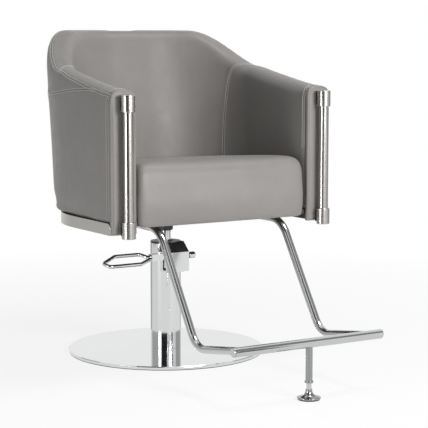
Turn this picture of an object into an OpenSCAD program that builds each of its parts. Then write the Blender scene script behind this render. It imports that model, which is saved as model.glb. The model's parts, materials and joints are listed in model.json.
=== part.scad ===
// Hairdressing chair: a padded tub shell with steel posts and a footrest, on a hydraulic pump.
// Millimetres, +Z up. The origin is on the floor, on the axis of the column. The chair faces -Y.

/* [Base and pump] */
// Radius of the base disc
disc_r = 262; // [230:1:300]
// Thickness of the base disc
disc_t = 8; // [6:0.5:12]
// Thickness of the rubber sheet under the disc
floor_pad_t = 2; // [1:0.5:4]
// Outer radius of the pump column
column_r = 41; // [39:0.5:48]
// Wall of the pump column
column_wall = 2; // [1.5:0.1:3]
// Height of the column's top over the floor
column_top = 294; // [290:1:330]
// Thickness of the black ring on the column
cap_t = 5; // [3:0.5:8]
// Radius of the ram that carries the seat
ram_r = 14; // [12:0.5:15]
// Length of ram that shows with the seat down
ram_show = 28; // [18:1:40]

/* [Hood and pedal] */
// Width of the pump's hood
hood_w = 68; // [68:1:80]
// How far the hood stands out of the column
hood_reach = 25; // [24:0.5:32]
// Height of the hood
hood_h = 77; // [76:1:90]
// Height of the hood's upright front face
hood_face_h = 52; // [48:1:56]
// Sheet thickness of the hood
hood_wall = 2.5; // [1.5:0.5:3]
// Radius of the pedal's bar
pedal_bar_r = 5; // [4:0.5:6]
// How far the pedal reaches from the column's axis
pedal_reach = 221; // [200:1:260]
// Width of the pedal loop
pedal_w = 62; // [56:1:80]
// Angle between the loop and the floor
pedal_tilt = 15; // [5:1:20]

/* [Shell] */
// Overall width of the padded shell
shell_w = 648; // [600:1:700]
// Distance from the column's axis to the front of the arms
shell_front = 300; // [280:1:320]
// Distance from the column's axis to the back of the shell
shell_back = 250; // [230:1:270]
// Thickness of the padded walls
wall_t = 73; // [60:1:80]
// Outer radius of the rounded rear corners, as a share of half the width
corner_share = 0.85; // [0.75:0.01:0.9]
// Height of the arms above the plinth, at the front
arm_h = 324; // [280:1:360]
// How far the arms rise from the front to the rounded corners
arm_rise = 45; // [20:1:60]
// How far the back stands above the arms
back_rise = 99; // [60:1:130]
// Height of the plinth under the shell
plinth_h = 29; // [24:1:34]

/* [Seat] */
// Thickness of the seat board
board_t = 12; // [9:0.5:15]
// Height of the cushion's rear edge above the board
seat_rear_h = 109; // [90:1:125]
// Radius of the cushion's front edge
seat_front_r = 34; // [20:1:45]
// Radius of the cushion's other edges
seat_edge_r = 20; // [12:1:28]
// Crown of the cushion
seat_crown = 5; // [0:1:12]

/* [Posts] */
// Radius of the post tubes
post_r = 12.5; // [10:0.5:15]
// Distance from the arm's front to the axis of the post
post_gap = 21; // [18:0.5:26]
// How far the post's top stays below the arm's
post_drop = 14; // [8:1:30]
// Radius of the post collars
post_collar_r = 17; // [15:0.5:19]
// Height of a post collar
post_collar_h = 41; // [30:1:50]

/* [Footrest] */
// Radius of the two side bars
bar_r = 10; // [9:0.5:11]
// Distance between a side bar and the inside of the arm
bar_inset = 69; // [61:1:81]
// Radius of the crossbar
crossbar_r = 11.5; // [10.5:0.5:14]
// Length of the crossbar
crossbar_w = 425; // [400:1:480]
// Distance from the column's axis to the crossbar
crossbar_reach = 666; // [620:1:700]
// Height of the crossbar's axis over the floor
crossbar_z = 134; // [125:1:150]
// Radius of the support leg
leg_r = 8.3; // [7.5:0.1:10]
// Radius of the bell-shaped foot
foot_r = 28; // [22:1:34]
// Height of the bell-shaped foot with its pad
foot_h = 25; // [20:1:28]

/* [Hidden] */
$fn = 64;

// Gaps and cuts that several pieces share
cut = 1;
run_gap = 0.05;
body_gap = 0.3;
small_r = 2;

// Colours
leather_colour = [0.47, 0.455, 0.44];
chrome_colour = [0.82, 0.83, 0.85];
steel_colour = [0.66, 0.65, 0.63];
black_colour = [0.06, 0.06, 0.065];
dark_steel_colour = [0.3, 0.3, 0.31];
wood_colour = [0.76, 0.62, 0.43];
bronze_colour = [0.69, 0.52, 0.29];
rubber_colour = [0.12, 0.12, 0.12];

// Heights in the pump, from the floor up
disc_z = floor_pad_t;
pump_foot_z = disc_z + disc_t;
pump_foot_t = 10;
pump_z = pump_foot_z + pump_foot_t;
cap_top = column_top + cap_t;
column_bore_r = column_r - column_wall;
head_h = 26;
head_z = column_top - head_h;
bush_h = 36;
bush_z = column_top - bush_h;
bush_wall = 6;
bush_r = ram_r + bush_wall;
cylinder_bore_r = 18;
cylinder_r = 22;
reservoir_wall = 2;
reservoir_r = 33;
valve_h = 25;
stop_h = 20;
stop_r = 12;
piston_z = pump_z + stop_h;
piston_h = 12;
seal_h = 4;
seal_depth = 2;
bolt_r = 4;
bolt_head_r = 7.5;
bolt_head_h = 4;
base_bolt_circle_r = 29;
base_bolt_count = 4;

// Heights in the seat's mounting, above the column
collar_z = cap_top + ram_show;
collar_h = 16;
collar_r = 20;
collar_chamfer = 3;
hub_h = 35;
hub_r = 26;
plate_t = 5;
plate_z = collar_z + collar_h + hub_h;
plate_d = 220;
plate_back = 100;
ram_top = plate_z - plate_t;
board_z = plate_z + plate_t;
shell_z = board_z + board_t;
plinth_z = shell_z - plinth_h;
plate_bolt_share = 0.6;
plate_bolt_y = 70;

// Hood, lever and plunger
hood_top = cap_top;
hood_z = hood_top - hood_h;
hood_split_z = hood_z + hood_face_h;
hood_front = column_r + hood_reach;
hood_back = 28;
hood_slope_run = 28;
hood_floor_z = hood_z + hood_wall;
bracket_t = 3;
bracket_w = 60;
lever_h = 12;
lever_t = 10;
lever_rise = 40;
lever_axis_z = hood_z + lever_rise;
lever_offset = 11;
lever_axis_y = -column_r - lever_offset;
lever_pivot_x = 15;
lever_pin_r = 4;
lever_end_x = 28;
stub_r = 5;
stub_end_x = 60;
nut_x = 41;
nut_l = 18;
nut_r = 9;
hub_block_x = 44;
hub_block_l = 33;
hub_block_t = 22;
hub_block_h = 18;
hub_block_lift = 2;
side_slot_w = 17;
side_slot_low = 36;
side_slot_high = 9;
stub_slot_high = 12;
plunger_x = -8;
plunger_r = 5;
barrel_r = 9.5;
barrel_h = 14;
barrel_floor = 1.5;
plunger_engage = 5.7;
spring_seat_t = 1.5;
spring_seat_lift = 0.8;
spring_r = 6.6;
spring_wire_r = 0.4;
spring_turns = 2;
hood_screw_r = 2.5;
hood_screw_x = 22;

module ring(r, bore, h) {
    difference() {
        cylinder(r = r, h = h);
        translate([0, 0, -cut]) cylinder(r = bore, h = h + 2 * cut);
    }
}

module floor_pad() {
    color(rubber_colour) cylinder(r = disc_r - cut, h = floor_pad_t, $fn = 128);
}

module base_disc() {
    edge = disc_t / 4;
    color(chrome_colour) translate([0, 0, disc_z]) difference() {
        union() {
            cylinder(r = disc_r, h = disc_t - edge, $fn = 128);
            translate([0, 0, disc_t - edge]) cylinder(r1 = disc_r, r2 = disc_r - edge, h = edge, $fn = 128);
        }
        at_base_bolts() countersunk_hole();
    }
}

module at_base_bolts() {
    for (i = [0:base_bolt_count - 1])
        rotate([0, 0, (i + 0.5) * 360 / base_bolt_count]) translate([base_bolt_circle_r, 0, 0]) children();
}

// The cone for a countersunk head that is flush with the disc's underside
module countersunk_hole() {
    cylinder(r1 = bolt_head_r, r2 = bolt_r, h = bolt_head_h);
    cylinder(r = bolt_r, h = disc_t + cut);
}

module base_bolts() {
    color(dark_steel_colour) translate([0, 0, disc_z]) at_base_bolts() {
        cylinder(r1 = bolt_head_r, r2 = bolt_r, h = bolt_head_h);
        cylinder(r = bolt_r, h = disc_t + pump_foot_t);
    }
}

module pump_foot() {
    color(dark_steel_colour) translate([0, 0, pump_foot_z]) {
        difference() {
            cylinder(r = column_bore_r, h = pump_foot_t);
            translate([0, 0, -cut]) at_base_bolts() cylinder(r = bolt_r, h = pump_foot_t + 2 * cut);
        }
        translate([0, 0, pump_foot_t]) cylinder(r = stop_r, h = stop_h - body_gap);
    }
}

module pump_column() {
    color(chrome_colour) translate([0, 0, pump_foot_z])
        ring(column_r, column_bore_r, column_top - pump_foot_z, $fn = 96);
}

module column_cap() {
    color(black_colour) translate([0, 0, column_top]) ring(column_r, bush_r, cap_t, $fn = 96);
}

module pump_cylinder() {
    color(steel_colour) translate([0, 0, pump_z]) ring(cylinder_r, cylinder_bore_r, bush_z - pump_z);
}

module oil_reservoir() {
    color(steel_colour) translate([0, 0, pump_z])
        ring(reservoir_r, reservoir_r - reservoir_wall, head_z - pump_z);
}

module valve_block() {
    color(bronze_colour) translate([0, 0, pump_z])
        ring(reservoir_r - reservoir_wall - body_gap, cylinder_r + body_gap, valve_h);
}

module pump_head() {
    color(steel_colour) translate([0, 0, head_z]) ring(column_bore_r, bush_r, head_h);
}

module guide_bush() {
    color(bronze_colour) translate([0, 0, bush_z]) ring(bush_r, ram_r + run_gap, bush_h);
}

module wiper_seal() {
    color(rubber_colour) translate([0, 0, column_top]) ring(bush_r, ram_r + run_gap, cap_t);
}

// The hood's outline, seen along X, with the sloping front of its top
module hood_side(inset) {
    polygon([[-hood_front + inset, hood_z + inset],
        [-hood_front + inset, hood_split_z - inset / 2],
        [-hood_front + hood_slope_run + inset / 2, hood_top - inset],
        [-hood_back - inset, hood_top - inset],
        [-hood_back - inset, hood_z + inset]]);
}

module hood_shell() {
    difference() {
        translate([-hood_w / 2, 0, 0]) rotate([90, 0, 90]) linear_extrude(hood_w) hood_side(0);
        translate([-hood_w / 2 + hood_wall, 0, 0]) rotate([90, 0, 90])
            linear_extrude(hood_w - 2 * hood_wall) hood_side(hood_wall);
        translate([0, 0, hood_z - cut]) cylinder(r = column_r, h = hood_h + 2 * cut, $fn = 96);
        hood_slots();
        at_hood_screws() cylinder(r = hood_screw_r, h = 3 * hood_wall, center = true);
    }
}

// The openings through which the lever passes, on the left, and its stub, on the right
module hood_slots() {
    translate([-hood_w, lever_axis_y - side_slot_w / 2, lever_axis_z - side_slot_low])
        cube([hood_w, side_slot_w, side_slot_low + side_slot_high]);
    translate([0, lever_axis_y - side_slot_w / 2, lever_axis_z - side_slot_high])
        cube([hood_w, side_slot_w, side_slot_high + stub_slot_high]);
}

module at_hood_screws() {
    for (side = [-1, 1]) translate([side * hood_screw_x, lever_axis_y, hood_z]) children();
}

module hood_part(low, high) {
    intersection() {
        hood_shell();
        translate([-hood_w, -hood_front - cut, low]) cube([2 * hood_w, hood_front + cut, high - low]);
    }
}

module pump_hood() {
    color(chrome_colour) hood_part(hood_z, hood_split_z);
}

module hood_cap() {
    color(black_colour) hood_part(hood_split_z, hood_top);
}

module hood_screws() {
    color(dark_steel_colour) at_hood_screws() {
        translate([0, 0, -hood_wall]) cylinder(r = 2 * hood_screw_r, h = hood_wall);
        cylinder(r = hood_screw_r, h = hood_wall + bracket_t);
    }
}

module lever_bracket() {
    deep = lever_t / 2 + body_gap + bracket_t;
    color(dark_steel_colour) difference() {
        union() {
            translate([-bracket_w / 2, lever_axis_y - deep, hood_floor_z])
                cube([bracket_w, deep + lever_offset + column_wall, bracket_t]);
            for (side = [-1, 1]) let (cheek_y = lever_axis_y + side * (deep - bracket_t / 2))
                translate([lever_pivot_x - lever_h, cheek_y - bracket_t / 2, hood_floor_z])
                    cube([2 * lever_h, bracket_t, lever_axis_z + lever_pin_r + bracket_t - hood_floor_z]);
        }
        translate([0, 0, hood_z]) cylinder(r = column_r, h = hood_h, $fn = 96);
        translate([0, 0, hood_wall]) at_hood_screws() cylinder(r = hood_screw_r, h = bracket_t + cut);
        on_lever_axis() cylinder(r = lever_pin_r, h = 2 * deep + cut, center = true);
    }
}

// Puts a shape that stands along Z on the lever's pivot, along Y
module on_lever_axis() {
    translate([lever_pivot_x, lever_axis_y, lever_axis_z]) rotate([90, 0, 0]) children();
}

module lever_pin() {
    color(steel_colour) on_lever_axis()
        cylinder(r = lever_pin_r, h = lever_t + 2 * body_gap + 2 * bracket_t, center = true);
}

module plunger_barrel() {
    color(steel_colour) translate([plunger_x, lever_axis_y, hood_floor_z + bracket_t]) difference() {
        cylinder(r = barrel_r, h = barrel_h);
        translate([0, 0, barrel_floor]) cylinder(r = plunger_r + run_gap, h = barrel_h);
    }
}

module pedal_lever() {
    color(dark_steel_colour) difference() {
        union() {
            translate([-hub_block_x - cut, lever_axis_y - lever_t / 2, lever_axis_z - lever_h / 2])
                cube([hub_block_x + cut + lever_end_x, lever_t, lever_h]);
            translate([-hub_block_x - hub_block_l, lever_axis_y - hub_block_t / 2,
                lever_axis_z - hub_block_h / 2 + hub_block_lift])
                cube([hub_block_l, hub_block_t, hub_block_h]);
            translate([lever_end_x - cut, lever_axis_y, lever_axis_z]) rotate([0, 90, 0])
                cylinder(r = stub_r, h = stub_end_x - lever_end_x + cut);
        }
        on_lever_axis() cylinder(r = lever_pin_r + run_gap, h = 2 * lever_t, center = true);
    }
}

// The stops along a bar through flat points, each a place and a heading, with an arc at each inner point
function turn(a, b, c) = let (u = b - a, w = c - b) atan2(u.x * w.y - u.y * w.x, u * w);
function heading(a, b) = atan2(b.y - a.y, b.x - a.x);
function left_of(angle) = [-sin(angle), cos(angle)];
function bar_stops(points, bend_r, steps) = let (last = len(points) - 1) concat(
    [[points[0], heading(points[0], points[1])]],
    [for (i = [1:last - 1])
        let (turned = turn(points[i - 1], points[i], points[i + 1]), way = sign(turned),
            start = heading(points[i - 1], points[i]), back = bend_r[i] * tan(abs(turned) / 2),
            centre = points[i] - back * [cos(start), sin(start)] + way * bend_r[i] * left_of(start))
        for (k = [0:steps]) let (angle = start + turned * k / steps)
            [centre - way * bend_r[i] * left_of(angle), angle]],
    [[points[last], heading(points[last - 1], points[last])]]);

// A round bar that lies in the flat plane and follows its stops
module bent_bar(stops, r, sides) {
    loft([for (s = stops) [for (j = [0:sides - 1])
        let (a = 360 * j / sides, flat = s[0] + r * cos(a) * left_of(s[1]))
        [flat.x, flat.y, r * sin(a)]]]);
}

// Corners of the pedal loop in its own plane: X from the column's axis, Y across the loop
loop_bend_r = 12;
loop_bend_steps = 5;
loop_sides = 16;
loop_root = 12;
loop_neck = 4;
loop_root_y = 6;
loop_rise_share = 0.26;
loop_fall_share = 0.71;
loop_end_share = 0.85;
loop_tip_share = 0.13;
loop_nose_share = 0.11;
loop_root_x = -hub_block_x - hub_block_l;
loop_points = [[loop_root_x + loop_root, loop_root_y],
    [loop_root_x - loop_neck, loop_root_y],
    [loop_root_x - pedal_w * loop_rise_share, pedal_w / 2],
    [-pedal_reach + pedal_w * loop_end_share, pedal_w / 2],
    [-pedal_reach, -pedal_w * loop_tip_share],
    [-pedal_reach + pedal_w * loop_nose_share, -pedal_w / 2],
    [loop_root_x - pedal_w * loop_fall_share, -pedal_w / 2],
    [loop_root_x - loop_neck, -loop_root_y],
    [loop_root_x + loop_root, -loop_root_y]];

module pedal_loop() {
    stops = bar_stops(loop_points, [for (p = loop_points) loop_bend_r], loop_bend_steps);
    color(chrome_colour) difference() {
        translate([0, lever_axis_y, lever_axis_z]) rotate([pedal_tilt, 0, 0])
            bent_bar(stops, pedal_bar_r, loop_sides);
        translate([-hub_block_x - hub_block_l, lever_axis_y - hub_block_t, lever_axis_z - hub_block_h])
            cube([hub_block_l, 2 * hub_block_t, 2 * hub_block_h]);
    }
}

module lever_nut() {
    color(chrome_colour) translate([nut_x, lever_axis_y, lever_axis_z]) rotate([0, 90, 0]) difference() {
        union() {
            cylinder(r = nut_r, h = nut_l - small_r);
            translate([0, 0, nut_l - small_r]) cylinder(r1 = nut_r, r2 = nut_r - small_r, h = small_r);
        }
        translate([0, 0, -cut]) cylinder(r = stub_r, h = nut_l + 2 * cut);
    }
}

// The plunger's dome stands just under the lever
barrel_top = hood_floor_z + bracket_t + barrel_h;
dome_z = lever_axis_z - lever_h / 2 - body_gap - plunger_r;

module plunger() {
    low = barrel_top - plunger_engage;
    color(steel_colour) translate([plunger_x, lever_axis_y, 0]) {
        translate([0, 0, low]) cylinder(r = plunger_r, h = dome_z - low);
        translate([0, 0, dome_z]) sphere(r = plunger_r);
        translate([0, 0, dome_z + spring_seat_lift])
            cylinder(r = spring_r + 2 * spring_wire_r, h = spring_seat_t);
    }
}

// One unbroken coil between the barrel and the plunger's shoulder
module plunger_spring() {
    rise = dome_z + spring_seat_lift - barrel_top - 2 * spring_wire_r - 2 * run_gap;
    steps = 20;
    sides = 6;
    last = steps * spring_turns;
    rings = [for (i = [0:last]) [for (j = [0:sides - 1])
        let (a = 360 * i / steps, b = -360 * j / sides, r = spring_r + spring_wire_r * cos(b))
        [r * cos(a), r * sin(a), rise * i / last + spring_wire_r * sin(b)]]];
    color(steel_colour) translate([plunger_x, lever_axis_y, barrel_top + spring_wire_r + run_gap])
        loft(rings);
}

module piston_head() {
    color(steel_colour) translate([0, 0, piston_z]) difference() {
        cylinder(r = cylinder_bore_r - run_gap, h = piston_h);
        translate([0, 0, piston_h / 2 - seal_h / 2])
            ring(cylinder_bore_r + cut, cylinder_bore_r - seal_depth, seal_h);
    }
}

module piston_seal() {
    color(rubber_colour) translate([0, 0, piston_z + piston_h / 2 - seal_h / 2])
        ring(cylinder_bore_r - run_gap, cylinder_bore_r - seal_depth, seal_h);
}

module ram() {
    low = piston_z + piston_h + body_gap;
    color(chrome_colour) translate([0, 0, low]) cylinder(r = ram_r, h = ram_top - low);
}

module ram_collar() {
    color(black_colour) translate([0, 0, collar_z]) difference() {
        union() {
            cylinder(r1 = collar_r - collar_chamfer, r2 = collar_r, h = collar_chamfer);
            translate([0, 0, collar_chamfer]) cylinder(r = collar_r, h = collar_h - collar_chamfer);
        }
        translate([0, 0, -cut]) cylinder(r = ram_r, h = collar_h + 2 * cut);
    }
}

// The plate ends just inside the footrest's clamps
plate_gap = 4;
bar_x = shell_w / 2 - wall_t - bar_inset;
clamp_w = 56;
plate_w = 2 * (bar_x - clamp_w / 2 - plate_gap);

module at_plate_bolts() {
    for (x = [-1, 1], y = [-1, 1])
        translate([x * plate_bolt_share * plate_w / 2, y * plate_bolt_y, plate_z]) children();
}

module seat_plate() {
    color(black_colour) difference() {
        union() {
            translate([-plate_w / 2, plate_back - plate_d, plate_z]) cube([plate_w, plate_d, plate_t]);
            translate([0, 0, plate_z - hub_h]) cylinder(r = hub_r, h = hub_h);
        }
        translate([0, 0, plate_z - hub_h - cut]) cylinder(r = ram_r, h = ram_top - plate_z + hub_h + cut);
        at_plate_bolts() cylinder(r = bolt_r, h = 3 * plate_t, center = true);
    }
}

module plate_bolts() {
    color(steel_colour) at_plate_bolts() {
        translate([0, 0, -bolt_head_h]) cylinder(r = bolt_head_r, h = bolt_head_h, $fn = 6);
        cylinder(r = bolt_r, h = plate_t + board_t - small_r);
    }
}

// Shell: plan, wall and crest
half_w = shell_w / 2;
corner_r = half_w * corner_share;
front_y = -shell_front;
corner_x = half_w - corner_r;
lean_share = 0.1025;
lean_h = 255;
lean_z = shell_z + lean_h;
facing_t = 12;
pad_front_y = front_y + facing_t;
seam_angle = 22;
rise_start = 3;
rise_angle = 52;
arch_h = 32;
arch_power_share = 0.76;
rear_arch_power_share = 0.55;
rear_arch_angle = 35;
arm_curve_share = 1.2;
tuck = 13;
tuck_share = 0.12;
outer_crown = 2;
inner_crown = 3;
back_crown = 10;

function smooth(u) = let (v = min(max(u, 0), 1)) v * v * (3 - 2 * v);
function signed_pow(v, p) = sign(v) * pow(abs(v), p);

// The Y of the rear corners' centres: the back leans, so it moves with the height
function corner_y(z) = shell_back - corner_r + (z - lean_z) * lean_share;

// The crest's height: it climbs along the arm, then in the rounded corner
function crest(t, turned) = shell_z + arm_h + arm_rise * pow(max(0, t), arm_curve_share)
    + back_rise * smooth((turned - rise_start) / rise_angle);

// A point of the wall: t runs from 0, the arm's front, to 1, the corner, which then turns;
// off is the distance inwards from the outer face
function wall_point(side, t, turned, off, z) = t < 1
    ? [side * (half_w - off), pad_front_y + t * (corner_y(z) - pad_front_y), z]
    : [side * (corner_x + (corner_r - off) * cos(turned)), corner_y(z) + (corner_r - off) * sin(turned), z];

// The wall's cut outline as pairs of offset and height, from the outer foot over the crest to the inner foot
side_steps = 8;
arch_steps = 15;
function outline(low, top, tuck_in, out, in, power) = let (spring = top - arch_h, mid = wall_t / 2) concat(
    [for (i = [0:side_steps]) let (u = i / side_steps)
        [tuck_in * pow(max(0, 1 - u / tuck_share), 2) - out * sin(180 * u), low + u * (spring - low)]],
    [for (i = [1:arch_steps - 1]) let (a = 180 - 180 * i / arch_steps)
        [mid + mid * signed_pow(cos(a), a > 90 ? power : arch_power_share),
            spring + arch_h * pow(sin(a), a > 90 ? power : arch_power_share)]],
    [for (i = [side_steps:-1:0]) let (u = i / side_steps)
        [wall_t + in * pow(sin(180 * u), 2), low + u * (spring - low)]]);

function wall_ring(side, t, turned, full) =
    let (inside = inner_crown + (back_crown - inner_crown) * smooth(turned / 90),
        softer = rear_arch_power_share - arch_power_share,
        power = arch_power_share + softer * smooth(turned / rear_arch_angle),
        skin = outline(shell_z, crest(t, turned), tuck * smooth(t), outer_crown * full, inside * full, power))
    [for (p = skin) wall_point(side, t, turned, p.x, p.y)];

// The skin between the rings of a loft, two triangles to a cell; a body that fits inside another
// splits its cells the other way, so that its facets lie along the outer one's
function loft_skin(n, last, inner) = [for (i = [0:last - 1], j = [0:n - 1])
    let (k = (j + 1) % n, low = i * n, high = low + n)
    each inner ? [[low + j, high + j, low + k], [high + j, high + k, low + k]]
        : [[low + j, high + k, low + k], [low + j, high + j, high + k]]];

// A closed body over rings of equal length; the triangles of ends close its first ring and its last
module loft(rings, ends = [], inner = false) {
    n = len(rings[0]);
    last = len(rings) - 1;
    across = len(ends) > 0 ? ends : strip(n);
    polyhedron(points = [for (r = rings) each r], faces = concat(loft_skin(n, last, inner), across,
        [for (f = across) [last * n + f[2], last * n + f[1], last * n + f[0]]]));
}

// Triangles across a ring whose two halves face each other
function strip(n) = [for (j = [0:n / 2 - 2]) each [[j, j + 1, n - 2 - j], [j, n - 2 - j, n - 1 - j]]];

// Triangles across a pad's ring, whose last four points are the corners of the pocket for its panel
function fans(all) = let (n = all - len(pocket_corners), mid = n / 2) concat(
    [for (j = [0:mid - 1]) [j, j + 1, n + 2]],
    [[mid, n + 1, n + 2], [n - 1, n, n + 1], [0, n + 2, n + 3]],
    [for (j = [mid:n - 2]) [j, j + 1, n + 1]]);

arm_steps = 9;
arm_turn_steps = 4;
arm_stations = concat(
    [for (i = [0:arm_steps - 1]) [-1, i / arm_steps, 0]],
    [for (i = [0:arm_turn_steps]) [-1, 1, seam_angle * i / arm_turn_steps]]);

// The plywood panel inside a wall fills a pocket that opens at the pad's foot and ends
frame_t = 18;
frame_off = (wall_t - frame_t) / 2;
frame_drop = 25;
pocket_corners = [[1, 0], [1, 1], [0, 1], [0, 0]];

function pocket_ring(side, t, turned, gap) = [for (p = pocket_corners)
    wall_point(side, t, turned, frame_off + gap + p.x * (frame_t - 2 * gap),
        shell_z + p.y * (crest(t, turned) - frame_drop - gap - shell_z))];

module panel(side_stations) {
    loft([for (i = [len(side_stations) - 1:-1:0]) let (s = side_stations[i])
        pocket_ring(s[0], s[1], s[2], body_gap)], inner = true);
}

module pad(side_stations) {
    last = len(side_stations) - 1;
    rings = [for (i = [0:last]) let (s = side_stations[i]) concat(
        wall_ring(s[0], s[1], s[2], sin(180 * i / last)), pocket_ring(s[0], s[1], s[2], 0))];
    loft(rings, fans(len(rings[0])));
}

module arm_left() {
    color(leather_colour) pad(arm_stations);
}

module arm_right() {
    color(leather_colour) mirror([1, 0, 0]) pad(arm_stations);
}

module arm_frame() {
    color(wood_colour) difference() {
        panel(arm_stations);
        at_left_post_bolts() cylinder(r = bolt_r, h = post_bolt_l);
    }
}

module arm_frame_left() {
    arm_frame();
}

module arm_frame_right() {
    mirror([1, 0, 0]) arm_frame();
}

back_steps = 9;
back_stations = concat(
    [for (i = [0:back_steps]) [-1, 1, seam_angle + (90 - seam_angle) * i / back_steps]],
    [for (i = [back_steps:-1:0]) [1, 1, seam_angle + (90 - seam_angle) * i / back_steps]]);

module backrest() {
    color(leather_colour) pad(back_stations);
}

module back_frame() {
    color(wood_colour) panel(back_stations);
}

// The padded facing on the arm's front; its front edge is drawn in
facing_hang = 2;
facing_z = plinth_z - facing_hang;
facing_soft = 4;
facing_mid_share = 1 / 3;
facing_steps = [[0, 0], [facing_t - facing_soft, 0],
    [facing_t - facing_soft * facing_mid_share, facing_mid_share], [facing_t, 1]];

module facing() {
    rings = [for (s = facing_steps)
        [for (p = outline(facing_z, crest(0, 0) - facing_soft * s.y, 0, 0, 0, arch_power_share))
            let (q = min(max(p.x, facing_soft * s.y), wall_t - facing_soft * s.y))
            [-half_w + q, pad_front_y - s.x, max(p.y, facing_z + facing_soft * s.y)]]];
    color(leather_colour) difference() {
        loft([for (i = [len(rings) - 1:-1:0]) rings[i]]);
        at_left_post_bolts() cylinder(r = bolt_r, h = post_bolt_l);
    }
}

module arm_facing_left() {
    facing();
}

module arm_facing_right() {
    mirror([1, 0, 0]) facing();
}

// Plinth: a rounded outline that lies further forward than the shell's
plinth_back = 182;
plinth_w = 50;
band_t = 1;
band_corner_r = 14;

module plinth_plan(inset) {
    centre_y = plinth_back - corner_r;
    intersection() {
        for (side = [-1, 1]) translate([side * corner_x, centre_y]) circle(r = corner_r - inset, $fn = 128);
        translate([-half_w + inset, centre_y]) square([shell_w - 2 * inset, corner_r - inset]);
    }
    translate([-corner_x, centre_y]) square([2 * corner_x, corner_r - inset]);
    translate([-half_w + inset, front_y]) square([shell_w - 2 * inset, centre_y - front_y]);
}

module plinth_frame() {
    color(wood_colour) translate([0, 0, plinth_z]) difference() {
        linear_extrude(plinth_h) difference() {
            plinth_plan(0);
            plinth_plan(plinth_w);
            translate([-half_w, front_y - cut]) square([shell_w, facing_t + cut]);
            translate([-half_w + plinth_w, front_y - cut]) square([shell_w - 2 * plinth_w, shell_front]);
        }
        translate([0, 0, -plinth_z]) at_post_bolts() cylinder(r = bolt_r, h = post_bolt_l);
    }
}

// The brushed steel band round the plinth, with its upper front corners rounded
module kick_band() {
    color(steel_colour) difference() {
        translate([0, 0, plinth_z]) linear_extrude(plinth_h) difference() {
            plinth_plan(-band_t);
            plinth_plan(0);
            translate([-half_w + plinth_w, front_y - cut]) square([shell_w - 2 * plinth_w, shell_front]);
            translate([-shell_w, front_y - shell_w + facing_soft]) square([2 * shell_w, shell_w]);
        }
        translate([-shell_w, front_y + facing_soft, plinth_z + plinth_h]) rotate([90, 0, 90])
            linear_extrude(2 * shell_w) difference() {
                translate([-cut, -band_corner_r]) square([band_corner_r + cut, band_corner_r + cut]);
                translate([band_corner_r, -band_corner_r]) circle(r = band_corner_r);
            }
    }
}

apron_t = 15;
board_front_y = front_y + apron_t;

module board_plan() {
    intersection() {
        plinth_plan(plinth_w + body_gap);
        translate([-half_w, board_front_y]) square([shell_w, shell_w]);
    }
}

module seat_board() {
    color(wood_colour) difference() {
        translate([0, 0, board_z]) linear_extrude(board_t) board_plan();
        at_plate_bolts() cylinder(r = bolt_r, h = plate_t + board_t - small_r);
        at_clamp_bolts() cylinder(r = clamp_bolt_r, h = clamp_bolt_l);
    }
}

// Seat cushion, with an apron in front of the board
apron_drop = 5;
seat_base_z = board_z - apron_drop;
seat_gap = 4;
seat_half_w = half_w - wall_t - seat_gap;
seat_corner_r = 16;
seat_corner_steps = 4;
seat_side_steps = 4;
seat_slope_share = 0.076;
seat_front_bulge = 5;
seat_side_bulge = 2;
seat_pinch = 3;
seat_mid_y = -80;
seat_rear_r = corner_r - wall_t - 2 * seat_gap;
seat_face_y = front_y + seat_front_bulge;
seat_arc_steps = 7;
seat_front_steps = 10;

// The cushion's plan at a height, anticlockwise from its left front corner
function seat_plan(z) = let (w = seat_half_w, c = seat_corner_r, cy = corner_y(z), fy = seat_face_y) concat(
    [for (i = [0:seat_front_steps]) let (x = -w + c + (2 * w - 2 * c) * i / seat_front_steps)
        [x, fy - seat_front_bulge * (1 - pow(x / w, 2))]],
    [for (i = [1:seat_corner_steps - 1]) let (a = -90 + 90 * i / seat_corner_steps)
        [w - c + c * cos(a), fy + c + c * sin(a)]],
    [for (i = [0:seat_side_steps]) [w, fy + c + (cy - fy - c) * i / seat_side_steps]],
    [for (i = [1:seat_arc_steps]) let (a = 90 * i / seat_arc_steps)
        [w - seat_rear_r + seat_rear_r * cos(a), cy + seat_rear_r * sin(a)]],
    [for (i = [0:seat_arc_steps - 1]) let (a = 90 + 90 * i / seat_arc_steps)
        [-w + seat_rear_r + seat_rear_r * cos(a), cy + seat_rear_r * sin(a)]],
    [for (i = [seat_side_steps:-1:0]) [-w, fy + c + (cy - fy - c) * i / seat_side_steps]],
    [for (i = [1:seat_corner_steps - 1]) let (a = 180 + 90 * i / seat_corner_steps)
        [-w + c + c * cos(a), fy + c + c * sin(a)]]);

seat_rear_y = corner_y(shell_z + seat_rear_h) + seat_rear_r;
function seat_level(y) = shell_z + seat_rear_h + (seat_rear_y - y) * seat_slope_share;
function edge_r(p) = seat_edge_r
    + (seat_front_r - seat_edge_r) * smooth((seat_mid_y - p.y) / (seat_mid_y - seat_face_y));
function inward(p, d) = let (v = [0, seat_mid_y] - p) p + v * d / norm(v);

// Rings up the side: share of the height, and how far the side stands out, as shares of its bulge and pinch
seat_side_shares = [[0, -1], [0.07, 0], [0.25, 0.7], [0.5, 1], [0.75, 0.7], [1, 0]];
seat_fillet_steps = 5;
seat_top_shares = [0.3, 0.6, 0.85];

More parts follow.
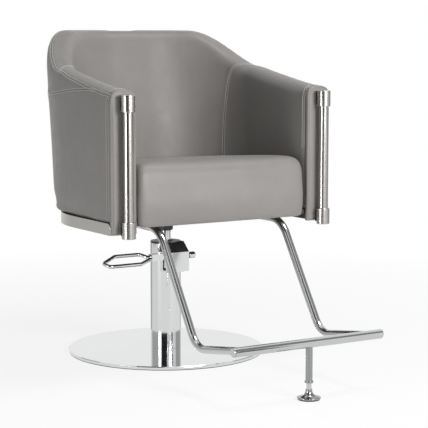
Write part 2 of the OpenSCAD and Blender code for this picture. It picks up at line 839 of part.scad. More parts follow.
module seat_skin() {
    base = seat_plan(shell_z + seat_rear_h / 2);
    n = len(base);
    sides = [for (s = seat_side_shares) [for (p = base)
        let (top = seat_level(p.y) - edge_r(p), out = s.y < 0 ? seat_pinch * s.y : seat_side_bulge * s.y,
            q = inward(p, -out))
        [q.x, q.y, seat_base_z + s.x * (top - seat_base_z)]]];
    edges = [for (i = [1:seat_fillet_steps]) [for (p = base)
        let (a = 90 * i / seat_fillet_steps, r = edge_r(p), q = inward(p, r * (1 - cos(a))))
        [q.x, q.y, seat_level(q.y) - r * (1 - sin(a))]]];
    tops = [for (m = seat_top_shares) [for (p = base)
        let (e = inward(p, edge_r(p)), q = e + ([0, seat_mid_y] - e) * m)
        [q.x, q.y, seat_level(q.y) + seat_crown * sin(90 * m)]]];
    rings = concat(sides, edges, tops);
    last = len(rings) - 1;
    centre = len(rings) * n;
    polyhedron(points = concat([for (r = rings) each r],
        [[0, seat_mid_y, seat_level(seat_mid_y) + seat_crown], [0, seat_mid_y, seat_base_z]]),
        faces = concat(loft_skin(n, last),
            [for (j = [0:n - 1]) let (k = (j + 1) % n) [last * n + j, centre, last * n + k]],
            [for (j = [0:n - 1]) let (k = (j + 1) % n) [j, k, centre + 1]]));
}

module seat_cushion() {
    color(leather_colour) difference() {
        seat_skin();
        translate([-half_w, board_front_y, seat_base_z - cut])
            cube([shell_w, shell_w, apron_drop + board_t + cut]);
    }
}

// Posts: tubes in front of the arms, held by a collar and a bracket at each end
post_wall = 1.5;
post_x = half_w - wall_t / 2;
post_y = front_y - post_gap;
post_hang = 7;
post_z = plinth_z - post_hang;
post_top = shell_z + arm_h - post_drop;
post_h = post_top - post_z;
bracket_margin = 5;
post_bracket_w = 20;
post_bolt_l = 62;
post_bolt_y = post_y + post_r + bracket_margin;
collar_zs = [post_z, post_top - post_collar_h];

module post_tube() {
    color(steel_colour) translate([post_x, post_y, post_z + small_r])
        ring(post_r, post_r - post_wall, post_h - 2 * small_r);
}

module post_tube_left() {
    mirror([1, 0, 0]) post_tube();
}

module post_tube_right() {
    post_tube();
}

module at_collars() {
    for (side = [-1, 1], z = collar_zs) translate([side * post_x, post_y, z]) children();
}

module post_collar() {
    ring(post_collar_r, post_r, post_collar_h);
    cylinder(r = post_r, h = small_r);
}

module post_collars() {
    color(steel_colour) for (side = [-1, 1]) translate([side * post_x, post_y, post_z]) {
        post_collar();
        translate([0, 0, post_h]) mirror([0, 0, 1]) post_collar();
    }
}

module post_brackets() {
    color(black_colour) at_collars() difference() {
        translate([-post_bracket_w / 2, 0, bracket_margin])
            cube([post_bracket_w, post_gap, post_collar_h - 2 * bracket_margin]);
        translate([0, 0, -cut]) cylinder(r = post_collar_r, h = post_collar_h + 2 * cut);
        translate([0, 0, post_collar_h / 2]) rotate([-90, 0, 0]) cylinder(r = bolt_r, h = post_gap + cut);
    }
}

// Puts a shape that stands along Z behind each collar, pointing back into the arm
module at_post_bolts() {
    for (side = [-1, 1]) translate([side * post_x, 0, 0]) at_bolt_heights() children();
}

module at_left_post_bolts() {
    translate([-post_x, 0, 0]) at_bolt_heights() children();
}

module at_bolt_heights() {
    for (z = collar_zs) translate([0, post_bolt_y, z + post_collar_h / 2]) rotate([-90, 0, 0]) children();
}

module post_bolts() {
    color(dark_steel_colour) at_post_bolts() cylinder(r = bolt_r, h = post_bolt_l);
}

// Footrest: two bent side bars under the seat plate, and a crossbar
bar_wall = 2;
bar_z = board_z - bar_r;
bar_rear_y = 60;
bar_knee_y = -284;
bar_low_y = -461;
bar_low_z = 103;
bar_knee_r = 80;
bar_low_r = 60;
bar_bend_steps = 9;
bar_sides = 24;
bar_points = [[bar_rear_y, bar_z], [bar_knee_y, bar_z], [bar_low_y, bar_low_z],
    [-crossbar_reach, crossbar_z]];
bar_bends = [0, bar_knee_r, bar_low_r, 0];

module side_bar() {
    first = bar_points[0];
    hollow = [[first.x + cut, first.y], bar_points[1], bar_points[2], bar_points[3]];
    color(chrome_colour) difference() {
        translate([bar_x, 0, 0]) rotate([90, 0, 90])
            bent_bar(bar_stops(bar_points, bar_bends, bar_bend_steps), bar_r, bar_sides);
        translate([bar_x, 0, 0]) rotate([90, 0, 90])
            bent_bar(bar_stops(hollow, bar_bends, bar_bend_steps), bar_r - bar_wall, bar_sides);
        on_crossbar() cylinder(r = crossbar_r, h = crossbar_w, center = true);
    }
}

// Puts a shape that stands along Z on the crossbar's axis, along X
module on_crossbar() {
    translate([0, -crossbar_reach, crossbar_z]) rotate([0, 90, 0]) children();
}

module footrest_bar_left() {
    mirror([1, 0, 0]) side_bar();
}

module footrest_bar_right() {
    side_bar();
}

end_cap_t = 3;
end_plug_l = 12;
module footrest_crossbar() {
    length = crossbar_w - 2 * end_cap_t;
    color(chrome_colour) on_crossbar() translate([0, 0, -length / 2])
        ring(crossbar_r, crossbar_r - bar_wall, length);
}

module crossbar_caps() {
    color(chrome_colour) on_crossbar() for (side = [0, 1]) mirror([0, 0, side])
        translate([0, 0, crossbar_w / 2 - end_cap_t]) {
            cylinder(r1 = crossbar_r, r2 = crossbar_r - small_r, h = end_cap_t);
            translate([0, 0, -end_plug_l]) cylinder(r = crossbar_r - bar_wall, h = end_plug_l);
        }
}

clamp_l = 24;
clamp_under = 4;
clamp_bolt_r = 3;
clamp_bolt_off = 20;
clamp_head_h = 3;
clamp_ys = [-90, 30];
clamp_z = bar_z - bar_r - clamp_under;
clamp_bolt_l = board_z - clamp_z + board_t / 2;

module at_clamps() {
    for (side = [-1, 1], y = clamp_ys) translate([side * bar_x, y, clamp_z]) children();
}

module at_clamp_bolts() {
    at_clamps() for (side = [-1, 1]) translate([side * clamp_bolt_off, 0, 0]) children();
}

module footrest_clamps() {
    color(black_colour) difference() {
        at_clamps() translate([-clamp_w / 2, -clamp_l / 2, 0]) cube([clamp_w, clamp_l, board_z - clamp_z]);
        for (side = [-1, 1]) translate([side * bar_x, bar_rear_y, bar_z]) {
            rotate([90, 0, 0]) cylinder(r = bar_r, h = bar_rear_y - bar_knee_y);
            translate([-bar_r, bar_knee_y - bar_rear_y, 0])
                cube([2 * bar_r, bar_rear_y - bar_knee_y, 2 * bar_r]);
        }
        at_clamp_bolts() cylinder(r = clamp_bolt_r, h = clamp_bolt_l);
    }
}

module clamp_bolts() {
    color(steel_colour) at_clamp_bolts() {
        translate([0, 0, -clamp_head_h]) cylinder(r = 2 * clamp_bolt_r, h = clamp_head_h);
        cylinder(r = clamp_bolt_r, h = clamp_bolt_l);
    }
}

// Support leg and its levelling foot
lock_ring_h = 5;
lock_ring_r = 10.5;
foot_up = 15;
leg_z = foot_h + foot_up + lock_ring_h;
stem_r = 6;
stem_top = 105;
foot_pad_t = 3;
foot_neck_r = 8;
foot_collar_h = 4;
flare_steps = 6;

module support_leg() {
    color(chrome_colour) translate([0, -crossbar_reach, leg_z]) difference() {
        cylinder(r = leg_r, h = crossbar_z - leg_z);
        translate([0, 0, -cut]) cylinder(r = stem_r + run_gap, h = stem_top - leg_z + foot_up + cut);
        translate([0, crossbar_reach, -leg_z]) on_crossbar()
            cylinder(r = crossbar_r, h = crossbar_w, center = true);
    }
}

module leg_lock_ring() {
    color(chrome_colour) translate([0, -crossbar_reach, leg_z - lock_ring_h])
        ring(lock_ring_r, stem_r + run_gap, lock_ring_h);
}

module foot_stem() {
    color(steel_colour) translate([0, -crossbar_reach, foot_h]) cylinder(r = stem_r, h = stem_top - foot_h);
}

module bell_foot() {
    neck_z = foot_h - foot_collar_h;
    rim_h = foot_pad_t;
    color(chrome_colour) translate([0, -crossbar_reach, 0]) rotate_extrude()
        polygon(concat([[0, foot_pad_t], [foot_r, foot_pad_t], [foot_r, foot_pad_t + rim_h]],
            [for (i = [1:flare_steps]) let (u = i / flare_steps)
                [foot_neck_r + (foot_r - foot_neck_r) * (1 - sin(90 * u)),
                    foot_pad_t + rim_h + (neck_z - foot_pad_t - rim_h) * (1 - cos(90 * u))]],
            [[foot_neck_r, foot_h], [0, foot_h]]));
}

module foot_pad() {
    color(rubber_colour) translate([0, -crossbar_reach, 0]) cylinder(r = foot_r - small_r, h = foot_pad_t);
}

floor_pad();
base_disc();
base_bolts();
pump_foot();
pump_column();
column_cap();
pump_cylinder();
oil_reservoir();
valve_block();
pump_head();
guide_bush();
wiper_seal();
pump_hood();
hood_cap();
hood_screws();
lever_bracket();
lever_pin();
plunger_barrel();
pedal_lever();
pedal_loop();
lever_nut();
plunger();
plunger_spring();
piston_head();
piston_seal();
ram();
ram_collar();
seat_plate();
plate_bolts();
seat_board();
seat_cushion();
plinth_frame();
kick_band();
arm_left();
arm_right();
backrest();
arm_frame_left();
arm_frame_right();
back_frame();
arm_facing_left();
arm_facing_right();
post_tube_left();
post_tube_right();
post_collars();
post_brackets();
post_bolts();
footrest_bar_left();
footrest_bar_right();
footrest_crossbar();
crossbar_caps();
footrest_clamps();
clamp_bolts();
support_leg();
leg_lock_ring();
foot_stem();
bell_foot();
foot_pad();
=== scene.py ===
"""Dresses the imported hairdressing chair: padded leather, metals, stitching, and a plain studio."""

import json
import math

import bpy
import numpy as np
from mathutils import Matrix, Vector
from mathutils.bvhtree import BVHTree
from mathutils.kdtree import KDTree


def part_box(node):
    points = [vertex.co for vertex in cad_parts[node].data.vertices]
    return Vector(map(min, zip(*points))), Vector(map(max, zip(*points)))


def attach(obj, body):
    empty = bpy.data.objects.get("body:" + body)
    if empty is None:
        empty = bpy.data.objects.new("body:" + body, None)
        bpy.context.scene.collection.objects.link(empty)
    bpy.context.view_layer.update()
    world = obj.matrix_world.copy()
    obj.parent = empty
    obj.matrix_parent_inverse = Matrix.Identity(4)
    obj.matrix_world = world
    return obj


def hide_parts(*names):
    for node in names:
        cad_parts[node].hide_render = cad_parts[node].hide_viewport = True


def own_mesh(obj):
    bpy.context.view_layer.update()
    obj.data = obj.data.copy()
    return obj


bl_info = {
    "name": "Hairdressing chair",
    "version": (1, 0, 0),
    "blender": (4, 5, 0),
    "location": "3D View > Sidebar > Chair",
    "description": "Builds the visible pieces of a hairdressing chair over its exact frame",
    "category": "Object",
}

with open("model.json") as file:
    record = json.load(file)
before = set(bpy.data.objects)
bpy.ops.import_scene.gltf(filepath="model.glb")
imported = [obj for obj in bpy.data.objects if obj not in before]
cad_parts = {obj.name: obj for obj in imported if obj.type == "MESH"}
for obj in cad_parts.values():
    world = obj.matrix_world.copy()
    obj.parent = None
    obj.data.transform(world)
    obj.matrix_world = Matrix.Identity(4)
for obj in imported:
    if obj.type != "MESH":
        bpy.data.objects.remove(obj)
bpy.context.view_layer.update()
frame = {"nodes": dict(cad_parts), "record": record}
NODES = frame["nodes"]

# The padded wall, in metres, with the same plan and crest as its solids
HALF_W = 0.324
WALL = 0.073
CORNER_R = 0.2754
CORNER_X = HALF_W - CORNER_R
PAD_FRONT_Y = -0.288
SHELL_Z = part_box("arm_left")[0].z
SHELL_BACK = 0.25
LEAN = 0.1025
LEAN_Z = SHELL_Z + 0.255
ARM_H = 0.324
ARM_RISE = 0.045
BACK_RISE = 0.099
RISE_START = 3
RISE_ANGLE = 52
ARM_CURVE = 1.2
SPLIT_ANGLE = 22
BACK_STATION = (90 - SPLIT_ANGLE) / 9
ARM_STATION = SPLIT_ANGLE / 4

MERGE = 1e-5
SEAM_PITCH = 0.002
FLAT_ANGLE = math.radians(0.2)
SMOOTH_ANGLE = math.radians(38)


def pick(*pieces):
    """Selects these pieces alone, the first one active"""
    bpy.ops.object.select_all(action="DESELECT")
    for piece in pieces:
        piece.select_set(True)
    bpy.context.view_layer.objects.active = pieces[0]


def apply_modifier(piece, kind, **settings):
    """Adds a modifier, sets it up and applies it"""
    pick(piece)
    modifier = piece.modifiers.new(kind.lower(), kind)
    for key, value in settings.items():
        setattr(modifier, key, value)
    bpy.ops.object.modifier_apply(modifier=modifier.name)


def points_of(piece):
    """The mesh's points as an array"""
    flat = np.empty(len(piece.data.vertices) * 3)
    piece.data.vertices.foreach_get("co", flat)
    return flat.reshape(-1, 3)


def move_points(piece, points):
    """Puts the mesh's points at new places"""
    piece.data.vertices.foreach_set("co", np.asarray(points, float).ravel())
    piece.data.update()


def copy_nodes(name, *nodes):
    """One piece with the merged meshes of CAD nodes, which themselves stay as they are"""
    copies = []
    for node in nodes:
        piece = bpy.data.objects.new(name, NODES[node].data.copy())
        piece.data.materials.clear()
        bpy.context.scene.collection.objects.link(piece)
        copies.append(piece)
    pick(*copies)
    if len(copies) > 1:
        bpy.ops.object.join()
    piece = bpy.context.active_object
    piece.data.name = name
    if piece.data.has_custom_normals:
        bpy.ops.mesh.customdata_custom_splitnormals_clear()
    bpy.ops.object.mode_set(mode="EDIT")
    bpy.ops.mesh.select_all(action="SELECT")
    bpy.ops.mesh.remove_doubles(threshold=MERGE)
    bpy.ops.mesh.normals_make_consistent(inside=False)
    bpy.ops.object.mode_set(mode="OBJECT")
    return piece


def finished(piece, material, body, slot, *nodes):
    """Gives a piece its finish, its body and the solids that it stands for"""
    piece.data.materials.clear()
    piece.data.materials.append(material)
    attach(piece, body)
    if nodes:
        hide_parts(*nodes)
    return piece


def smooth_step(value):
    """From 0 to 1 without a corner at either end"""
    value = min(max(value, 0.0), 1.0)
    return value * value * (3 - 2 * value)


def corner_y(z):
    """Where the rear corners' centres are at a height: the back leans"""
    return SHELL_BACK - CORNER_R + (z - LEAN_Z) * LEAN


def crest(along, turned):
    """Height of the wall's top, from along 0 at the arm's front to 1 at the corner, then by angle"""
    climb = ARM_RISE * max(0.0, along) ** ARM_CURVE
    return SHELL_Z + ARM_H + climb + BACK_RISE * smooth_step((turned - RISE_START) / RISE_ANGLE)


def wall_point(side, along, turned, off, z):
    """A point of the wall, at a distance inwards from its outer face"""
    if along < 1:
        y = PAD_FRONT_Y + along * (corner_y(z) - PAD_FRONT_Y)
        return Vector((side * (HALF_W - off), y, z))
    angle = math.radians(turned)
    reach = CORNER_R - off
    return Vector((side * (CORNER_X + reach * math.cos(angle)), corner_y(z) + reach * math.sin(angle), z))


def crest_path(side):
    """The outer seam under the crest, from the arm's front to the middle of the back"""
    front_drop, rear_drop, shoulder, steps = 0.014, 0.002, 0.2 * WALL, 24
    points = []
    for i in range(steps):
        along = i / steps
        drop = front_drop + (rear_drop - front_drop) * along**2
        off = shoulder / 2 * smooth_step((along - 0.85) / 0.15)
        points.append(wall_point(side, along, 0, off, crest(along, 0) - drop))
    for i in range(steps + 1):
        turned = 90 * i / steps
        off = shoulder / 2 * (1 + smooth_step(turned / 18))
        points.append(wall_point(side, 1, turned, off, crest(1, turned) - rear_drop))
    return points


def yoke_path(side):
    """The outer seam across the back, which meets the crest's seam on each arm"""
    start, high, low, level_angle, straight_share, steps = 0.27, 0.7155, 0.694, 20, 0.78, 22
    points = []
    for i in range(steps):
        share = i / steps
        fall = (share * straight_share) ** 2
        points.append(wall_point(side, start + (1 - start) * share, 0, 0, high + (low - high) * fall))
    for i in range(steps + 1):
        turned = 90 * i / steps
        fall = (straight_share + (1 - straight_share) * min(1, turned / level_angle)) ** 2
        points.append(wall_point(side, 1, turned, 0, high + (low - high) * fall))
    return points


def inner_path(side):
    """The seam between arm and back: up the inner face, forward over the arm, down to the crest's seam"""
    rise = [(30, 0.46), (30, 0.52), (29.2, 0.57), (28, 0.61), (26.3, 0.65), (23.8, 0.7), (21.5, 0.728),
            (18.6, 0.75)]
    points = [wall_point(side, 1, turned, WALL, z) for turned, z in rise]
    for turned, off_share, drop in [(15, 0.93, 0.009), (12, 0.8, 0.002), (9, 0.55, 0), (5, 0.28, 0)]:
        points.append(wall_point(side, 1, turned, WALL * off_share, crest(1, turned) - drop))
    points.append(wall_point(side, 1, 1, WALL * 0.1, crest(1, 1) - 0.002))
    return points


def front_path(side):
    """The seam just behind the arm's facing: up the outer face, over the arm and down inside"""
    along, arch, outer_foot, inner_foot, steps = 0.03, 0.032, 0.004, 0.15, 10
    spring = crest(0, 0) - arch
    points = []
    for i in range(steps):
        z = SHELL_Z + outer_foot + (spring - SHELL_Z) * i / steps
        points.append(wall_point(side, along, 0, 0, z))
    for i in range(1, steps):
        angle = math.pi * (1 - i / steps)
        off = WALL / 2 * (1 + math.cos(angle))
        points.append(wall_point(side, along, 0, off, spring + arch * math.sin(angle)))
    for i in range(steps):
        z = spring - (spring - SHELL_Z - inner_foot) * i / steps
        points.append(wall_point(side, along, 0, WALL, z))
    return points


def densify(points, pitch):
    """The same path with its points evenly spaced"""
    flat = np.array([tuple(p) for p in points])
    reach = np.concatenate([[0], np.cumsum(np.linalg.norm(np.diff(flat, axis=0), axis=1))])
    count = max(2, int(reach[-1] / pitch) + 1)
    at = np.linspace(0, reach[-1], count)
    return np.stack([np.interp(at, reach, flat[:, k]) for k in range(3)], axis=1)


def smooth_path(points, pitch=0.004, passes=12):
    """An evenly spaced path with its corners rounded"""
    path = densify(points, pitch)
    for _ in range(passes):
        path[1:-1] = (path[:-2] + 2 * path[1:-1] + path[2:]) / 4
    return path


def remesh(piece, voxel, passes, foot_z):
    """An even skin over the piece, with its facets eased out above its foot"""
    apply_modifier(piece, "REMESH", mode="VOXEL", voxel_size=voxel)
    ease(piece, passes, foot_z)


def ease(piece, passes, foot_z, reach=0.014):
    """Smooths a piece, and leaves its foot as it is"""
    group = piece.vertex_groups.new(name="eased")
    for vertex in piece.data.vertices:
        group.add([vertex.index], min(1.0, max(0.0, (vertex.co.z - foot_z) / reach)), "REPLACE")
    apply_modifier(piece, "SMOOTH", factor=0.5, iterations=passes, vertex_group="eased")
    piece.vertex_groups.clear()


def round_out(piece):
    """Turns the flat facets of the shell's rear corners into true arcs"""
    points = points_of(piece)
    side = np.where(points[:, 0] < 0, -1.0, 1.0)
    centre_y = corner_y(points[:, 2])
    x = points[:, 0] * side - CORNER_X
    y = points[:, 1] - centre_y
    turned = np.degrees(np.arctan2(y, x))
    station = np.where(turned < SPLIT_ANGLE, ARM_STATION, BACK_STATION)
    first = np.where(turned < SPLIT_ANGLE, 0, SPLIT_ANGLE)
    off_middle = (turned - first) % station - station / 2
    grow = np.cos(np.radians(off_middle)) / np.cos(np.radians(station / 2))
    inside = (turned > 0) & (turned < 90) & (x > 0)
    grow = np.where(inside, grow, 1.0)
    points[:, 0] = side * (CORNER_X + x * grow)
    points[:, 1] = centre_y + y * grow
    move_points(piece, points)


def fill_foot(piece):
    """Fills out the solid's tucked foot, where the leather rolls over the plinth's band"""
    tuck, tuck_h, roll, roll_h, wide = 0.013, 0.04, 0.003, 0.012, 0.04
    points = points_of(piece)
    side = np.where(points[:, 0] < 0, -1.0, 1.0)
    height = points[:, 2] - SHELL_Z
    centre_y = corner_y(points[:, 2])
    x = np.abs(points[:, 0]) - CORNER_X
    y = points[:, 1] - centre_y
    reach = np.maximum(np.hypot(np.maximum(x, 0), np.maximum(y, 0)), 1e-6)
    along = np.clip((points[:, 1] - PAD_FRONT_Y) / (centre_y - PAD_FRONT_Y), 0, 1)
    proud = tuck * np.clip(1 - height / tuck_h, 0, 1) ** 2 - roll * np.clip(1 - height / roll_h, 0, 1) ** 2
    proud *= along**2 * (3 - 2 * along) * np.clip(1 - (CORNER_R - reach) / wide, 0, 1)
    points[:, 0] += side * proud * np.maximum(x, 0) / reach
    points[:, 1] += proud * np.maximum(y, 0) / reach
    move_points(piece, points)


def bulge_front(piece, proud, depth):
    """Lets a cushion's front swell forward, most at half its height"""
    points = points_of(piece)
    low, high = points.min(0), points.max(0)
    near = np.clip(1 - (points[:, 1] - low[1]) / depth, 0, 1)
    height = np.clip((points[:, 2] - low[2]) / (high[2] - low[2]), 0, 1)
    points[:, 1] -= proud * near**2 * (3 - 2 * near) * np.sin(math.pi * height) ** 0.7
    move_points(piece, points)


def tree_of(points):
    """A tree that finds the nearest of these points to a place"""
    tree = KDTree(len(points))
    for i, point in enumerate(points):
        tree.insert(point, i)
    tree.balance()
    return tree


def hold(piece, low_z, paths, reach):
    """A group that keeps the foot and the seams of a padded piece in place"""
    group = piece.vertex_groups.new(name="held")
    tree = tree_of(np.concatenate(paths))
    for vertex in piece.data.vertices:
        weight = 1.0 if vertex.co.z < low_z else 1 - tree.find(vertex.co)[2] / reach
        if weight > 0:
            group.add([vertex.index], weight, "REPLACE")


def hold_underside(piece, low_z, high_z, rim):
    """A group that keeps a cushion's recessed underside in place, and leaves its outer faces free"""
    points = points_of(piece)
    low, high = points.min(0), points.max(0)
    group = piece.vertex_groups.new(name="held")
    for vertex in piece.data.vertices:
        place = np.array(vertex.co)
        inside = min(*(place - low)[:2], *(high - place)[:2])
        weight = 1 - (place[2] - low_z) / rim
        if place[2] < high_z and inside > rim / 2:
            weight = 1.0
        if weight > 0:
            group.add([vertex.index], min(1.0, float(weight)), "REPLACE")


def evened(piece, moved, passes=40):
    """A swelling with its small wrinkles averaged out over neighbouring points"""
    ends = np.empty(len(piece.data.edges) * 2, int)
    piece.data.edges.foreach_get("vertices", ends)
    first, second = ends.reshape(-1, 2).T
    size = len(moved)
    count = np.bincount(ends, minlength=size)
    for _ in range(passes):
        near = [np.bincount(first, moved[second, k], size) + np.bincount(second, moved[first, k], size)
                for k in range(3)]
        moved = (moved + np.stack(near, axis=1) / count[:, None]) / 2
    return moved


def stuff(piece, shrink, cap, pressure, frames=20):
    """Draws the free skin in a little and lets its filling swell it, by no more than the cap"""
    rest = points_of(piece)
    free = np.ones(len(rest))
    for vertex in piece.data.vertices:
        for member in vertex.groups:
            free[vertex.index] = 1 - member.weight
    outward = np.empty(len(rest) * 3)
    piece.data.vertices.foreach_get("normal", outward)
    start = rest - outward.reshape(-1, 3) * shrink * free[:, None]
    move_points(piece, start)
    cloth = piece.modifiers.new("filling", "CLOTH")
    settings = cloth.settings
    settings.quality = 4
    settings.mass = 0.15
    settings.tension_stiffness = 12
    settings.compression_stiffness = 12
    settings.bending_stiffness = 0.6
    settings.use_pressure = True
    settings.uniform_pressure_force = pressure
    settings.effector_weights.gravity = 0
    if "held" in piece.vertex_groups:
        settings.vertex_group_mass = "held"
    cloth.point_cache.frame_start = 1
    cloth.point_cache.frame_end = frames
    for number in range(1, frames + 1):
        bpy.context.scene.frame_set(number)
    swollen = piece.evaluated_get(bpy.context.evaluated_depsgraph_get())
    flat = np.empty(len(swollen.data.vertices) * 3)
    swollen.data.vertices.foreach_get("co", flat)
    moved = flat.reshape(-1, 3) - start
    piece.modifiers.remove(cloth)
    bpy.context.scene.frame_set(1)
    length = np.linalg.norm(moved, axis=1)
    keep = np.minimum(1, cap / np.maximum(length, 1e-9))
    start = start + evened(piece, moved * keep[:, None]) * free[:, None]
    proud = start - rest
    far = np.linalg.norm(proud, axis=1)
    start = rest + proud * np.minimum(1, cap / np.maximum(far, 1e-9))[:, None]
    move_points(piece, start)
    piece.vertex_groups.clear()


def sew(piece, paths, depth, width):
    """Draws the leather in along seams, and keeps how near each point is to one in an attribute, with which the
    leather paints shade into the seams
    """
    tree = tree_of(np.concatenate([densify(path, SEAM_PITCH) for path in paths]))
    near = np.zeros(len(piece.data.vertices))
    for vertex in piece.data.vertices:
        share = tree.find(vertex.co)[2] / width
        if share < 1:
            near[vertex.index] = (1 - share * share) ** 2
    # The seam attribute feeds the painted shade in the leather's seam grooves
    attribute = piece.data.attributes.new("seam", "FLOAT", "POINT")
    attribute.data.foreach_set("value", near)
    group = piece.vertex_groups.new(name="sewn")
    for index in np.nonzero(near)[0]:
        group.add([int(index)], float(near[index]), "REPLACE")
    apply_modifier(piece, "DISPLACE", strength=-depth, mid_level=0, vertex_group="sewn")
    piece.vertex_groups.clear()


def surface_of(piece):
    """A piece's surface, for laying paths on it"""
    return BVHTree.FromPolygons([v.co for v in piece.data.vertices], [p.vertices for p in piece.data.polygons])


def onto(surface, path, shift=0.0, lift=0.0):
    """A path moved sideways and laid on a surface"""
    laid = []
    for i, point in enumerate(path):
        ahead = Vector(path[min(i + 1, len(path) - 1)]) - Vector(path[max(i - 1, 0)])
        place, normal = surface.find_nearest(Vector(point))[:2]
        place, normal = surface.find_nearest(place + normal.cross(ahead).normalized() * shift)[:2]
        laid.append(place + normal * lift)
    return laid


def stitch_row(name, path, chair):
    """A row of stitches: one stitch is modelled, then repeated along the path"""
    line = bpy.data.curves.new(name + "_line", "CURVE")
    line.dimensions = "3D"
    spline = line.splines.new("POLY")
    spline.points.add(len(path) - 1)
    for point, place in zip(spline.points, path):
        point.co = (*place, 1)
    guide = bpy.data.objects.new(name + "_line", line)
    bpy.context.scene.collection.objects.link(guide)
    bpy.ops.object.select_all(action="DESELECT")
    bpy.ops.mesh.primitive_uv_sphere_add(
        segments=6, ring_count=4, radius=chair.thread_r, rotation=(0, math.pi / 2, 0))
    stitch = bpy.context.active_object
    stitch.name = name
    bpy.ops.object.transform_apply(location=True, rotation=True, scale=True)
    bpy.ops.object.mode_set(mode="EDIT")
    bpy.ops.mesh.select_all(action="SELECT")
    bpy.ops.transform.resize(value=(chair.stitch_l / 2 / chair.thread_r, 1, 1))
    bpy.ops.transform.translate(value=(chair.stitch_l / 2, 0, 0))
    bpy.ops.object.mode_set(mode="OBJECT")
    apply_modifier(stitch, "ARRAY", fit_type="FIT_CURVE", curve=guide, use_relative_offset=False,
                   use_constant_offset=True, constant_offset_displace=(chair.stitch_l + chair.stitch_gap, 0, 0))
    apply_modifier(stitch, "CURVE", object=guide, deform_axis="POS_X")
    bpy.data.objects.remove(guide)
    pick(stitch)
    bpy.ops.object.shade_smooth()
    return stitch


def joined(name, pieces):
    """Several meshes as one piece"""
    pick(*pieces)
    if len(pieces) > 1:
        bpy.ops.object.join()
    piece = bpy.context.active_object
    piece.name = piece.data.name = name
    return piece


class Finish:
    """A material with its Principled shader, and short ways to add nodes to it"""

    def __init__(self, name, colour, metal=0.0, rough=0.5):
        self.material = bpy.data.materials.new(name)
        self.material.use_nodes = True
        self.tree = self.material.node_tree
        self.shader = self.tree.nodes["Principled BSDF"]
        self.shader.inputs["Base Color"].default_value = (*colour, 1)
        self.shader.inputs["Metallic"].default_value = metal
        self.shader.inputs["Roughness"].default_value = rough
        self.material.diffuse_color = (*colour, 1)

    def node(self, kind, settings=None, **inputs):
        """A node with its settings; an input is a value or another node's output"""
        made = self.tree.nodes.new(kind)
        for key, value in (settings or {}).items():
            setattr(made, key, value)
        for key, value in inputs.items():
            self.feed(made.inputs[key.replace("_", " ")], value)
        return made

    def feed(self, socket, value):
        """Gives a socket a value, a colour or another node's output"""
        if isinstance(value, bpy.types.NodeSocket):
            self.tree.links.new(value, socket)
        elif isinstance(value, tuple) and len(value) < len(socket.default_value):
            socket.default_value = (*value, 1)
        else:
            socket.default_value = value

    def link(self, output, name):
        self.tree.links.new(output, self.shader.inputs[name])

    def place(self, scale=(1, 1, 1)):
        """Object coordinates, stretched"""
        coordinates = self.node("ShaderNodeTexCoord").outputs["Object"]
        return self.node("ShaderNodeMapping", Vector=coordinates, Scale=scale).outputs["Vector"]

    def noise(self, scale, detail=3.0, rough=0.5, stretch=(1, 1, 1)):
        return self.node("ShaderNodeTexNoise", Vector=self.place(stretch), Scale=scale, Detail=detail,
                         Roughness=rough).outputs["Fac"]

    def spread(self, value, low, high, start=0.3, end=0.7):
        """A value between low and high, from a pattern"""
        ranged = self.node("ShaderNodeMapRange", Value=value, From_Min=start, From_Max=end,
                           To_Min=low, To_Max=high)
        return ranged.outputs["Result"]

    def mixed(self, share, first, second):
        """A colour between two, by a share"""
        mix = self.node("ShaderNodeMix", {"data_type": "RGBA"}, Factor=share)
        colours = [socket for socket in mix.inputs if socket.type == "RGBA"]
        self.feed(colours[0], first)
        self.feed(colours[1], second)
        return next(output for output in mix.outputs if output.type == "RGBA")

    def calculated(self, operation, first, second):
        """A value worked out from two others"""
        made = self.node("ShaderNodeMath", {"operation": operation})
        self.feed(made.inputs[0], first)
        self.feed(made.inputs[1], second)
        return made.outputs["Value"]

    def bump(self, height, depth, strength=1.0, below=None):
        """A bump of a real depth; more bumps are laid one on another"""
        made = self.node("ShaderNodeBump", Height=height, Distance=depth, Strength=strength)
        if below is not None:
            self.tree.links.new(below, made.inputs["Normal"])
        return made.outputs["Normal"]


def shade(colour, factor):
    return tuple(min(1.0, value * factor) for value in colour)


def leather(name, colour):
    """Smooth upholstery leather: a fine pebbled grain, faint clouds of tone, painted shade darkening the
    drawn-in seams
    """
    finish = Finish(name, colour, rough=0.48)
    clouds = finish.noise(7, 4, 0.6)
    tone = finish.mixed(finish.spread(clouds, 0, 1), shade(colour, 0.94), shade(colour, 1.05))
    pebbles = finish.node("ShaderNodeTexVoronoi", {"feature": "F1"}, Vector=finish.place(), Scale=620.0)
    grain = pebbles.outputs["Distance"]
    tone = finish.mixed(finish.spread(grain, 0.0, 0.35, 0.25, 0.8), tone, shade(colour, 0.8))
    # Painted shade: the colour darkens to under half towards each seam's groove, by the seam attribute
    seam = finish.node("ShaderNodeAttribute", {"attribute_name": "seam"}).outputs["Fac"]
    tone = finish.mixed(finish.spread(seam, 0, 0.6, 0.6, 1.0), tone, shade(colour, 0.45))
    finish.link(tone, "Base Color")
    finish.link(finish.spread(finish.noise(38, 3), 0.42, 0.54), "Roughness")
    wrinkle = finish.bump(finish.noise(95, 5, 0.65), 0.0006, 0.35)
    finish.link(finish.bump(grain, 0.00022, 0.5, wrinkle), "Normal")
    finish.shader.inputs["Specular IOR Level"].default_value = 0.42
    finish.shader.inputs["Sheen Weight"].default_value = 0.06
    finish.shader.inputs["Sheen Roughness"].default_value = 0.5
    return finish.material


def thread(name, colour):
    """Twisted sewing thread"""
    finish = Finish(name, colour, rough=0.7)
    twist = finish.noise(900, 2, stretch=(1, 1, 2))
    finish.link(finish.mixed(finish.spread(twist, 0, 1), shade(colour, 0.8), shade(colour, 1.1)), "Base Color")
    finish.link(finish.bump(twist, 0.0002, 0.6), "Normal")
    return finish.material


